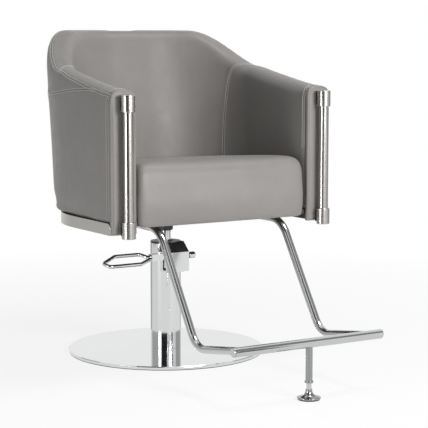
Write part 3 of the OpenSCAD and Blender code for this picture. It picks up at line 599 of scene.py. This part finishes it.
def polished(name, colour, rough=0.07):
    """Polished chrome with faint wiping marks"""
    finish = Finish(name, colour, metal=1.0, rough=rough)
    smears = finish.noise(14, 5, 0.7)
    finish.link(finish.spread(smears, rough * 0.7, rough * 1.6), "Roughness")
    tint = finish.spread(finish.noise(5, 3), 0, 1)
    finish.link(finish.mixed(tint, shade(colour, 0.97), shade(colour, 1.02)), "Base Color")
    finish.link(finish.bump(finish.noise(40, 2), 0.00002, 0.1), "Normal")
    return finish.material


def brushed(name, colour, stretch, rough=0.3):
    """Brushed stainless steel, its scratches drawn out along the low numbers of stretch"""
    finish = Finish(name, colour, metal=1.0, rough=rough)
    fine = finish.noise(1.0, 3, 0.6, stretch)
    broad = finish.noise(0.22, 2, 0.5, stretch)
    finish.link(finish.mixed(finish.spread(fine, 0, 1), shade(colour, 0.93), shade(colour, 1.05)), "Base Color")
    finish.link(finish.spread(broad, rough * 0.94, rough * 1.06), "Roughness")
    finish.link(finish.bump(broad, 0.00001, 0.06), "Normal")
    return finish.material


def plastic(name, colour, rough=0.36):
    """Moulded black plastic with a very fine texture"""
    finish = Finish(name, colour, rough=rough)
    mould = finish.noise(1400, 3)
    finish.link(finish.spread(finish.noise(30, 4), rough * 0.85, rough * 1.2), "Roughness")
    tint = finish.spread(finish.noise(60, 4), 0, 1)
    finish.link(finish.mixed(tint, shade(colour, 0.85), shade(colour, 1.3)), "Base Color")
    finish.link(finish.bump(mould, 0.00008, 0.3), "Normal")
    return finish.material


def painted(name, colour, rough=0.42):
    """Powder-coated steel, with the fine orange peel of the coat"""
    finish = Finish(name, colour, rough=rough)
    peel = finish.noise(520, 2)
    tint = finish.spread(finish.noise(22, 5), 0, 1)
    finish.link(finish.mixed(tint, shade(colour, 0.9), shade(colour, 1.25)), "Base Color")
    finish.link(finish.spread(peel, rough * 0.9, rough * 1.15), "Roughness")
    finish.link(finish.bump(peel, 0.00012, 0.4), "Normal")
    return finish.material


def machined(name, colour, rough=0.34):
    """Turned or plated metal with fine tool marks"""
    finish = Finish(name, colour, metal=1.0, rough=rough)
    marks = finish.noise(1.0, 3, 0.6, (60, 60, 1500))
    tint = finish.spread(finish.noise(25, 4), 0, 1)
    finish.link(finish.mixed(tint, shade(colour, 0.88), shade(colour, 1.08)), "Base Color")
    finish.link(finish.spread(marks, rough * 0.8, rough * 1.2), "Roughness")
    finish.link(finish.bump(marks, 0.00005, 0.4), "Normal")
    return finish.material


def rubber(name, colour):
    """Matt moulded rubber"""
    finish = Finish(name, colour, rough=0.82)
    dust = finish.noise(45, 5, 0.65)
    finish.link(finish.mixed(finish.spread(dust, 0, 1), colour, shade(colour, 1.7)), "Base Color")
    finish.link(finish.bump(finish.noise(800, 2), 0.0002, 0.4), "Normal")
    return finish.material


def plywood(name, colour):
    """Black-stained plywood: long grain on the faces, glued layers seen on the edges"""
    finish = Finish(name, colour, rough=0.62)
    grain = finish.noise(1.0, 6, 0.7, (12, 190, 190))
    layers = finish.node("ShaderNodeTexWave", {"wave_type": "BANDS", "bands_direction": "Z"},
                         Vector=finish.place(), Scale=95.0, Distortion=0.6, Detail=1.0).outputs["Fac"]
    tone = finish.mixed(finish.spread(grain, 0, 1), shade(colour, 0.72), shade(colour, 1.12))
    finish.link(finish.mixed(finish.spread(layers, 0, 0.35), tone, shade(colour, 0.6)), "Base Color")
    finish.link(finish.bump(grain, 0.0003, 0.35), "Normal")
    return finish.material


FINISHES = {}


def finish(slot):
    """The material of one of the part's finishes, made when it is first asked for"""
    if slot not in FINISHES:
        looks = bpy.context.scene.chair_looks
        make = {
            "upholstery": lambda: leather("leather", looks.leather),
            "thread": lambda: thread("thread", looks.thread),
            "polished_chrome": lambda: polished("polished_chrome", looks.chrome),
            "brushed_steel": lambda: brushed("brushed_steel", looks.steel, (2500, 2500, 2), 0.24),
            "brushed_collar": lambda: brushed("brushed_collar", looks.steel, (3, 3, 4000), 0.27),
            # Painted light: the kick band's steel is the brushed steel lightened, for the brighter reflections
            # along the band
            "brushed_band_painted_light": lambda: brushed("brushed_band_painted_light", shade(looks.steel, 1.2), (3, 3, 4000), 0.34),
            "black_plastic": lambda: plastic("black_plastic", looks.black),
            "black_metal": lambda: painted("black_metal", looks.black),
            # Painted shade: the footrest's chrome is the chrome darkened, for the darker reflections round the
            # bars
            "footrest_chrome_painted_shade": lambda: polished("footrest_chrome_painted_shade", shade(looks.chrome, 0.78), 0.1),
            "leg_chrome": lambda: polished("leg_chrome", shade(looks.chrome, 0.46), 0.16),
            "zinc_steel": lambda: machined("zinc_steel", (0.55, 0.55, 0.53)),
            "dark_steel": lambda: painted("dark_steel", (0.1, 0.1, 0.105), 0.38),
            "bronze": lambda: machined("bronze", (0.6, 0.44, 0.24)),
            "plywood": lambda: plywood("plywood", (0.06, 0.052, 0.045)),
            "rubber": lambda: rubber("rubber", (0.035, 0.035, 0.036)),
        }
        FINISHES[slot] = make[slot]()
    return FINISHES[slot]


SLOT_OF = {row["node"]: row["material_slot"] for row in frame["record"]["subparts"]}
BODY_OF = {node: body for body, nodes in frame["record"]["behaviour"]["bodies"].items() for node in nodes}


def hard_piece(node, edge, material=None, segments=2):
    """A rigid piece from its exact solid, with its edges broken as a real one's are"""
    piece = copy_nodes(node + "_part", node)
    bpy.ops.object.mode_set(mode="EDIT")
    bpy.ops.mesh.select_all(action="SELECT")
    bpy.ops.mesh.dissolve_limited(angle_limit=FLAT_ANGLE)
    bpy.ops.object.mode_set(mode="OBJECT")
    if edge > 0:
        apply_modifier(piece, "BEVEL", width=edge, segments=segments, limit_method="ANGLE",
                       angle_limit=SMOOTH_ANGLE, use_clamp_overlap=True)
    pick(piece)
    bpy.ops.object.shade_smooth_by_angle(angle=SMOOTH_ANGLE)
    apply_modifier(piece, "WEIGHTED_NORMAL", keep_sharp=True)
    return finished(piece, finish(material or SLOT_OF[node]), BODY_OF[node], SLOT_OF[node], node)


def dress(*nodes):
    """A CAD node that stays in sight, or inside the pump, gets its finish"""
    for node in nodes:
        solid = NODES[node]
        solid.data.materials.clear()
        solid.data.materials.append(finish(SLOT_OF[node]))


class ChairSizes(bpy.types.PropertyGroup):
    shell_voxel: bpy.props.FloatProperty(
        name="Shell mesh", description="Mesh size of the padded shell and seat", default=0.0068, unit="LENGTH")
    facing_voxel: bpy.props.FloatProperty(
        name="Facing mesh", description="Mesh size of the arms' facings", default=0.003, unit="LENGTH")
    seam_depth: bpy.props.FloatProperty(
        name="Seam depth", description="How far a seam draws the leather in", default=0.0014, unit="LENGTH")
    seam_width: bpy.props.FloatProperty(
        name="Seam width", description="Distance from a seam over which the leather dips", default=0.006,
        unit="LENGTH")
    seam_pair: bpy.props.FloatProperty(
        name="Stitch distance", description="Distance of a row of stitches from its seam", default=0.003,
        unit="LENGTH")
    stitch_l: bpy.props.FloatProperty(
        name="Stitch length", description="Length of one stitch", default=0.0042, unit="LENGTH")
    stitch_gap: bpy.props.FloatProperty(
        name="Stitch gap", description="Gap between two stitches", default=0.0026, unit="LENGTH")
    thread_r: bpy.props.FloatProperty(
        name="Thread radius", description="Radius of the sewing thread", default=0.001, unit="LENGTH")
    pressure: bpy.props.FloatProperty(
        name="Filling", description="Pressure with which the foam fills the leather", default=4.0)


class ChairLooks(bpy.types.PropertyGroup):
    leather: bpy.props.FloatVectorProperty(
        name="Leather", description="Colour of the leather", subtype="COLOR", default=(0.235, 0.224, 0.214))
    thread: bpy.props.FloatVectorProperty(
        name="Thread", description="Colour of the stitching", subtype="COLOR", default=(0.66, 0.645, 0.62))
    chrome: bpy.props.FloatVectorProperty(
        name="Chrome", description="Colour of the polished metal", subtype="COLOR", default=(0.7, 0.705, 0.71))
    steel: bpy.props.FloatVectorProperty(
        name="Steel", description="Colour of the brushed metal", subtype="COLOR", default=(0.46, 0.445, 0.425))
    black: bpy.props.FloatVectorProperty(
        name="Black", description="Colour of the black pieces", subtype="COLOR", default=(0.022, 0.022, 0.023))


class CHAIR_OT_shell(bpy.types.Operator):
    """Pads the shell with leather: two arms and the back, which share one outer skin"""
    bl_idname = "chair.shell"
    bl_label = "Padded shell"

    def execute(self, context):
        chair = context.scene.chair_sizes
        panels = ("arm_frame_left", "back_frame", "arm_frame_right")
        shell = copy_nodes("shell", "arm_left", "backrest", "arm_right", *panels)
        remesh(shell, chair.shell_voxel, passes=2, foot_z=SHELL_Z)
        round_out(shell)
        ease(shell, passes=12, foot_z=SHELL_Z)
        fill_foot(shell)
        sides = (-1, 1)
        crests = [smooth_path(crest_path(side)) for side in sides]
        yokes = [smooth_path(yoke_path(side)) for side in sides]
        inner = [smooth_path(inner_path(side)) for side in sides]
        fronts = [smooth_path(front_path(side)) for side in sides]
        hold(shell, low_z=SHELL_Z + 0.012, paths=crests + yokes + inner + fronts, reach=0.02)
        stuff(shell, shrink=0.002, cap=0.004, pressure=chair.pressure)
        apply_modifier(shell, "SUBSURF", levels=1, render_levels=1)
        surface = surface_of(shell)
        seams = [np.array(onto(surface, path)) for path in crests + yokes + inner]
        sew(shell, seams, chair.seam_depth, chair.seam_width)
        surface = surface_of(shell)
        rows = []
        for name, paths, pair in (("crest", crests, (-1, 1)), ("yoke", yokes, (-1, 1)),
                                  ("inner", inner, (-1, 1)), ("front", fronts, (-1.2, 1.2))):
            for side, path in zip(("left", "right"), paths):
                lines = [onto(surface, path, chair.seam_pair * shift, chair.thread_r * 0.5) for shift in pair]
                rows.append((f"{name}_stitches_{side}", lines))
        self.open_pocket(shell, panels)
        self.part_pads(shell)
        for name, lines in rows:
            made = [stitch_row(f"{name}_{i}", line, chair) for i, line in enumerate(lines)]
            finished(joined(name, made), finish("thread"), "seat", "upholstery")
        return {"FINISHED"}

    def open_pocket(self, shell, panels):
        """Cuts the slots for the plywood panels out of the foam, open at its foot"""
        play, foot_h, through = 0.0004, 0.005, 0.02
        for panel in panels:
            cutter = copy_nodes("cutter", panel)
            bpy.ops.object.mode_set(mode="EDIT")
            bpy.ops.mesh.select_all(action="SELECT")
            bpy.ops.transform.shrink_fatten(value=play)
            bpy.ops.object.mode_set(mode="OBJECT")
            points = points_of(cutter)
            points[points[:, 2] < SHELL_Z + foot_h, 2] = SHELL_Z - through
            move_points(cutter, points)
            apply_modifier(shell, "BOOLEAN", operation="DIFFERENCE", object=cutter, solver="MANIFOLD")
            bpy.data.objects.remove(cutter)

    def part_pads(self, shell):
        """Parts the shell where the arms' pads meet the back's"""
        angle = math.radians(SPLIT_ANGLE)
        forward, centre = {}, {}
        for side in (-1, 1):
            outward = Vector((side * math.cos(angle), math.sin(angle), 0))
            forward[side] = Vector((0, LEAN, 1)).cross(outward).normalized() * -side
            centre[side] = Vector((side * CORNER_X, corner_y(SHELL_Z), SHELL_Z))
        middle = Vector((0, 0, 0))
        pads = {
            "arm_pad_left": ("arm_left", [(centre[-1], -forward[-1]), (middle, Vector((1, 0, 0)))]),
            "arm_pad_right": ("arm_right", [(centre[1], -forward[1]), (middle, Vector((-1, 0, 0)))]),
            "back_pad": ("backrest", [(centre[-1], forward[-1]), (centre[1], forward[1])]),
        }
        for name, (node, cuts) in pads.items():
            pad = shell.copy()
            pad.data = shell.data.copy()
            pad.name = pad.data.name = name
            bpy.context.scene.collection.objects.link(pad)
            pick(pad)
            bpy.ops.object.mode_set(mode="EDIT")
            for place, away in cuts:
                bpy.ops.mesh.select_all(action="SELECT")
                bpy.ops.mesh.bisect(plane_co=place, plane_no=away, use_fill=True, clear_outer=True)
            bpy.ops.object.mode_set(mode="OBJECT")
            bpy.ops.object.shade_smooth_by_angle(angle=SMOOTH_ANGLE)
            finished(pad, finish("upholstery"), "seat", "upholstery", node)
        bpy.data.objects.remove(shell)


class CHAIR_OT_seat(bpy.types.Operator):
    """Pads the seat cushion"""
    bl_idname = "chair.seat"
    bl_label = "Seat cushion"

    def execute(self, context):
        chair = context.scene.chair_sizes
        seat = copy_nodes("seat_pad", "seat_cushion")
        foot_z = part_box("seat_cushion")[0].z
        remesh(seat, chair.shell_voxel, passes=3, foot_z=foot_z)
        bulge_front(seat, proud=0.006, depth=0.08)
        hold_underside(seat, low_z=foot_z, high_z=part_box("seat_board")[1].z + 0.002, rim=0.014)
        stuff(seat, shrink=0.001, cap=0.0035, pressure=chair.pressure)
        apply_modifier(seat, "SUBSURF", levels=1, render_levels=1)
        pick(seat)
        bpy.ops.object.shade_smooth()
        finished(seat, finish("upholstery"), "seat", "upholstery", "seat_cushion")
        return {"FINISHED"}


class CHAIR_OT_facings(bpy.types.Operator):
    """Pads the facings on the arms' fronts, with a seam inside their edge"""
    bl_idname = "chair.facings"
    bl_label = "Arm facings"

    def execute(self, context):
        chair = context.scene.chair_sizes
        for node in ("arm_facing_left", "arm_facing_right"):
            pad = copy_nodes(node + "_pad", node)
            remesh(pad, chair.facing_voxel, passes=4, foot_z=0)
            stuff(pad, shrink=0.0006, cap=0.0015, pressure=chair.pressure)
            apply_modifier(pad, "SUBSURF", levels=1, render_levels=1)
            sew(pad, [self.edge_path(node, inset=0.0065)], depth=0.0007, width=0.004)
            pick(pad)
            bpy.ops.object.shade_smooth()
            finished(pad, finish("upholstery"), "seat", "upholstery", node)
        return {"FINISHED"}

    def edge_path(self, node, inset):
        """A path inside the facing's edge: up one side, over its round top and down the other"""
        arch, squareness, steps = 0.032, 0.76, 12
        low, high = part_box(node)
        middle, half = (low.x + high.x) / 2, (high.x - low.x) / 2 - inset
        spring = high.z - arch
        points = [Vector((middle - half, low.y, low.z + inset))]
        for i in range(steps + 1):
            angle = math.pi * (1 - i / steps)
            wide = math.copysign(abs(math.cos(angle)) ** squareness, math.cos(angle))
            rise = (arch - inset) * math.sin(angle) ** squareness
            points.append(Vector((middle + half * wide, low.y, spring + rise)))
        points.append(Vector((middle + half, low.y, low.z + inset)))
        return densify(points, SEAM_PITCH)


class CHAIR_OT_plinth(bpy.types.Operator):
    """The plinth, its brushed band, and the board and plate under the seat"""
    bl_idname = "chair.plinth"
    bl_label = "Plinth and seat plate"

    def execute(self, context):
        hard_piece("plinth_frame", 0.0006)
        # The kick band takes the brushed steel lightened with painted light
        hard_piece("kick_band", 0.0003, "brushed_band_painted_light")
        hard_piece("seat_board", 0.0006)
        hard_piece("seat_plate", 0.0008)
        hard_piece("plate_bolts", 0.0004)
        dress("arm_frame_left", "arm_frame_right", "back_frame")
        return {"FINISHED"}


class CHAIR_OT_posts(bpy.types.Operator):
    """The two posts with their collars, brackets and bolts"""
    bl_idname = "chair.posts"
    bl_label = "Front posts"

    def execute(self, context):
        for node, edge, look in (("post_tube_left", 0, None), ("post_tube_right", 0, None),
                                 ("post_collars", 0.0014, "brushed_collar"), ("post_brackets", 0.0005, None),
                                 ("post_bolts", 0, None)):
            hard_piece(node, edge, look, segments=3)
        return {"FINISHED"}


class CHAIR_OT_pump(bpy.types.Operator):
    """The base disc, the pump's column, its ram and what is inside"""
    bl_idname = "chair.pump"
    bl_label = "Base and pump"

    def execute(self, context):
        hard_piece("base_disc", 0.0012, segments=4)
        hard_piece("floor_pad", 0.0005)
        hard_piece("pump_column", 0.0004)
        hard_piece("column_cap", 0.0012, segments=3)
        hard_piece("wiper_seal", 0.0006)
        hard_piece("ram", 0)
        hard_piece("ram_collar", 0.0012, segments=3)
        dress("base_bolts", "pump_foot", "pump_cylinder", "oil_reservoir", "valve_block", "pump_head",
              "guide_bush", "piston_head", "piston_seal")
        return {"FINISHED"}


class CHAIR_OT_pedal(bpy.types.Operator):
    """The pump's hood, and the pedal with its lever, plunger and spring"""
    bl_idname = "chair.pedal"
    bl_label = "Hood and pedal"

    def execute(self, context):
        for node, edge in (("pump_hood", 0.0007), ("hood_cap", 0.0007), ("hood_screws", 0.0004),
                           ("lever_bracket", 0.0004), ("lever_pin", 0.0004), ("plunger_barrel", 0.0004),
                           ("lever_nut", 0.0008), ("plunger", 0.0002), ("pedal_loop", 0)):
            hard_piece(node, edge)
        hard_piece("pedal_lever", 0.0008, "polished_chrome")
        spring = hard_piece("plunger_spring", 0)
        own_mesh(spring)
        return {"FINISHED"}


class CHAIR_OT_footrest(bpy.types.Operator):
    """The footrest: bars, crossbar, leg and levelling foot"""
    bl_idname = "chair.footrest"
    bl_label = "Footrest"

    def execute(self, context):
        # The bars, crossbar and caps take the chrome darkened with painted shade
        bars, leg = "footrest_chrome_painted_shade", "leg_chrome"
        for node, edge, look in (("footrest_bar_left", 0, bars), ("footrest_bar_right", 0, bars),
                                 ("footrest_crossbar", 0, bars), ("crossbar_caps", 0.001, bars),
                                 ("footrest_clamps", 0.0006, None), ("clamp_bolts", 0.0004, None),
                                 ("support_leg", 0, leg), ("leg_lock_ring", 0.0006, leg),
                                 ("foot_stem", 0, None), ("bell_foot", 0.0005, leg),
                                 ("foot_pad", 0.0005, None)):
            hard_piece(node, edge, look)
        return {"FINISHED"}


# The camera stands where the photograph's did
CAMERA_PLACE = (-2.013, -3.479, 0.844)
CAMERA_TURN = -31.91
CAMERA_TILT = 6.73
CAMERA_LENS = 126.8

# Cards that the metals reflect: name, first and last angle from the camera's side in degrees, then
# distance and height of the lower edge and of the upper edge, and tone
CAMERA_SIDE = -120
UPRIGHT_CARDS = (
    ("card_left", -128, -62, (2.3, 0.02), (2.3, 1.9), 0.55),
    ("card_front", -35, 10, (2.3, 0.02), (2.3, 1.9), 0.02),
    ("card_slit", 40, 53, (2.3, 0.02), (2.3, 1.9), 0.16),
    ("card_right", 78, 136, (2.3, 0.02), (2.3, 1.9), 0.5),
    ("card_over", -60, 15, (2.6, 2.0), (1.2, 3.0), 0.1),
    ("card_over_right", 45, 85, (2.3, 1.0), (1.6, 2.2), 0.3),
)
FLOOR_CARDS = (
    ("card_floor_left", -178, -124, 0.5),
    ("card_floor_soft", -124, -62, 0.86),
    ("card_floor_middle", -36, 24, 0.93),
    ("card_floor_right", 126, 178, 0.7),
)
FLOOR_CARD_REACH = (0.27, 3.0)
FLOOR_CARD_Z = 0.002

FLOOR_SIZE = 60
WORLD_LIGHT = 0.2

# Soft lamps: name, place, size and power
LAMPS = (
    ("key", (0.38, -2.78, 1.15), 1.0, 59),
    ("top", (0.7, -0.9, 3.3), 1.0, 39),
    ("side", (-3.0, -0.7, 0.35), 0.7, 22),
)
LAMP_AIM = (0, -0.1, 0.5)


def around(turned, reach, z):
    """A place round the chair, by its angle from the camera's side"""
    angle = math.radians(CAMERA_SIDE + turned)
    return (reach * math.cos(angle), reach * math.sin(angle), z)


class CHAIR_OT_stage(bpy.types.Operator):
    """The floor, soft lamps and the camera"""
    bl_idname = "chair.stage"
    bl_label = "Studio"

    def execute(self, context):
        self.floor()
        self.world(context.scene)
        self.cards()
        for lamp in LAMPS:
            self.lamp(*lamp)
        self.camera(context.scene)
        context.scene.view_settings.view_transform = "Standard"
        return {"FINISHED"}

    def floor(self):
        """A white floor that fades into the background and keeps the chair's shadow"""
        bpy.ops.object.select_all(action="DESELECT")
        bpy.ops.mesh.primitive_plane_add(size=FLOOR_SIZE)
        ground = bpy.context.active_object
        ground.name = "floor"
        look = Finish("floor", (0.86, 0.86, 0.86), rough=0.8)
        tree = look.tree
        paths = look.node("ShaderNodeLightPath")
        seen = look.calculated("MAXIMUM", paths.outputs["Is Camera Ray"], paths.outputs["Is Glossy Ray"])
        seen = look.calculated("MAXIMUM", seen, paths.outputs["Is Transmission Ray"])
        away = look.node("ShaderNodeVectorMath", {"operation": "LENGTH"}, Vector=look.place())
        bare = look.spread(away.outputs["Value"], low=0.84, high=1.0, start=0.6, end=2.0)
        share = look.calculated("MULTIPLY", seen, bare)
        white = look.node("ShaderNodeEmission", Color=(1, 1, 1, 1), Strength=1.0)
        mix = look.node("ShaderNodeMixShader", Fac=share)
        tree.links.new(look.shader.outputs[0], mix.inputs[1])
        tree.links.new(white.outputs[0], mix.inputs[2])
        tree.links.new(mix.outputs[0], tree.nodes["Material Output"].inputs["Surface"])
        ground.data.materials.append(look.material)

    def card(self, name, points, tone):
        """A flat card that glows in one tone for the metals alone"""
        bpy.ops.object.select_all(action="DESELECT")
        bpy.ops.mesh.primitive_plane_add(size=1)
        card = bpy.context.active_object
        card.name = name
        move_points(card, points)
        card.visible_camera = card.visible_diffuse = card.visible_shadow = False
        look = Finish(name, (0, 0, 0))
        light = look.node("ShaderNodeEmission", Color=(tone, tone, tone, 1), Strength=1.0)
        look.tree.links.new(light.outputs[0], look.tree.nodes["Material Output"].inputs["Surface"])
        card.data.materials.append(look.material)

    def cards(self):
        """Grey and black cards round and over the set, and on its floor, which only the metals reflect"""
        for name, first, last, low, high, tone in UPRIGHT_CARDS:
            corners = [(turned, reach, z) for reach, z in (low, high) for turned in (first, last)]
            self.card(name, [around(*corner) for corner in corners], tone)
        for name, first, last, tone in FLOOR_CARDS:
            corners = [(turned, reach, FLOOR_CARD_Z) for reach in FLOOR_CARD_REACH for turned in (first, last)]
            self.card(name, [around(*corner) for corner in corners], tone)

    def world(self, scene):
        """Even light from all round; the camera and the metals see a white background"""
        world = bpy.data.worlds.new("studio")
        scene.world = world
        world.use_nodes = True
        tree = world.node_tree
        light = tree.nodes["Background"]
        light.inputs["Color"].default_value = (1, 1, 1, 1)
        light.inputs["Strength"].default_value = WORLD_LIGHT
        seen = tree.nodes.new("ShaderNodeBackground")
        seen.inputs["Color"].default_value = (1, 1, 1, 1)
        seen.inputs["Strength"].default_value = 1.0
        paths = tree.nodes.new("ShaderNodeLightPath")
        most = tree.nodes.new("ShaderNodeMath")
        more = tree.nodes.new("ShaderNodeMath")
        most.operation = more.operation = "MAXIMUM"
        tree.links.new(paths.outputs["Is Camera Ray"], most.inputs[0])
        tree.links.new(paths.outputs["Is Glossy Ray"], most.inputs[1])
        tree.links.new(most.outputs[0], more.inputs[0])
        tree.links.new(paths.outputs["Is Transmission Ray"], more.inputs[1])
        mix = tree.nodes.new("ShaderNodeMixShader")
        tree.links.new(more.outputs[0], mix.inputs[0])
        tree.links.new(light.outputs[0], mix.inputs[1])
        tree.links.new(seen.outputs[0], mix.inputs[2])
        tree.links.new(mix.outputs[0], tree.nodes["World Output"].inputs["Surface"])

    def lamp(self, name, place, size, power):
        """A soft square lamp that points at the seat"""
        bpy.ops.object.select_all(action="DESELECT")
        bpy.ops.object.light_add(type="AREA", location=place)
        lamp = bpy.context.active_object
        lamp.name = name
        lamp.data.shape = "SQUARE"
        lamp.data.size = size
        lamp.data.energy = power
        aim = Vector(LAMP_AIM) - Vector(place)
        lamp.rotation_euler = aim.to_track_quat("-Z", "Y").to_euler()

    def camera(self, scene):
        """The photograph's viewpoint"""
        bpy.ops.object.select_all(action="DESELECT")
        turn, tilt = math.radians(CAMERA_TURN), math.radians(CAMERA_TILT)
        look = Vector((-math.sin(turn) * math.cos(tilt), math.cos(turn) * math.cos(tilt), -math.sin(tilt)))
        bpy.ops.object.camera_add(location=CAMERA_PLACE, rotation=look.to_track_quat("-Z", "Y").to_euler())
        camera = bpy.context.active_object
        camera.data.lens = CAMERA_LENS
        camera.data.clip_end = 100
        scene.camera = camera


OPERATORS = (CHAIR_OT_shell, CHAIR_OT_seat, CHAIR_OT_facings, CHAIR_OT_plinth, CHAIR_OT_posts, CHAIR_OT_pump,
             CHAIR_OT_pedal, CHAIR_OT_footrest, CHAIR_OT_stage)


class CHAIR_PT_pieces(bpy.types.Panel):
    """The chair's pieces in the sidebar"""
    bl_idname = "CHAIR_PT_pieces"
    bl_label = "Hairdressing chair"
    bl_space_type = "VIEW_3D"
    bl_region_type = "UI"
    bl_category = "Chair"

    def draw(self, context):
        for operator in OPERATORS:
            self.layout.operator(operator.bl_idname)


CLASSES = (ChairSizes, ChairLooks, *OPERATORS, CHAIR_PT_pieces)


def register():
    for item in CLASSES:
        bpy.utils.register_class(item)
    bpy.types.Scene.chair_sizes = bpy.props.PointerProperty(type=ChairSizes)
    bpy.types.Scene.chair_looks = bpy.props.PointerProperty(type=ChairLooks)


def unregister():
    del bpy.types.Scene.chair_looks
    del bpy.types.Scene.chair_sizes
    for item in reversed(CLASSES):
        bpy.utils.unregister_class(item)


def main():
    register()
    for piece in ("shell", "seat", "facings", "plinth", "posts", "pump", "pedal", "footrest", "stage"):
        getattr(bpy.ops.chair, piece)()


if __name__ == "__main__":
    main()
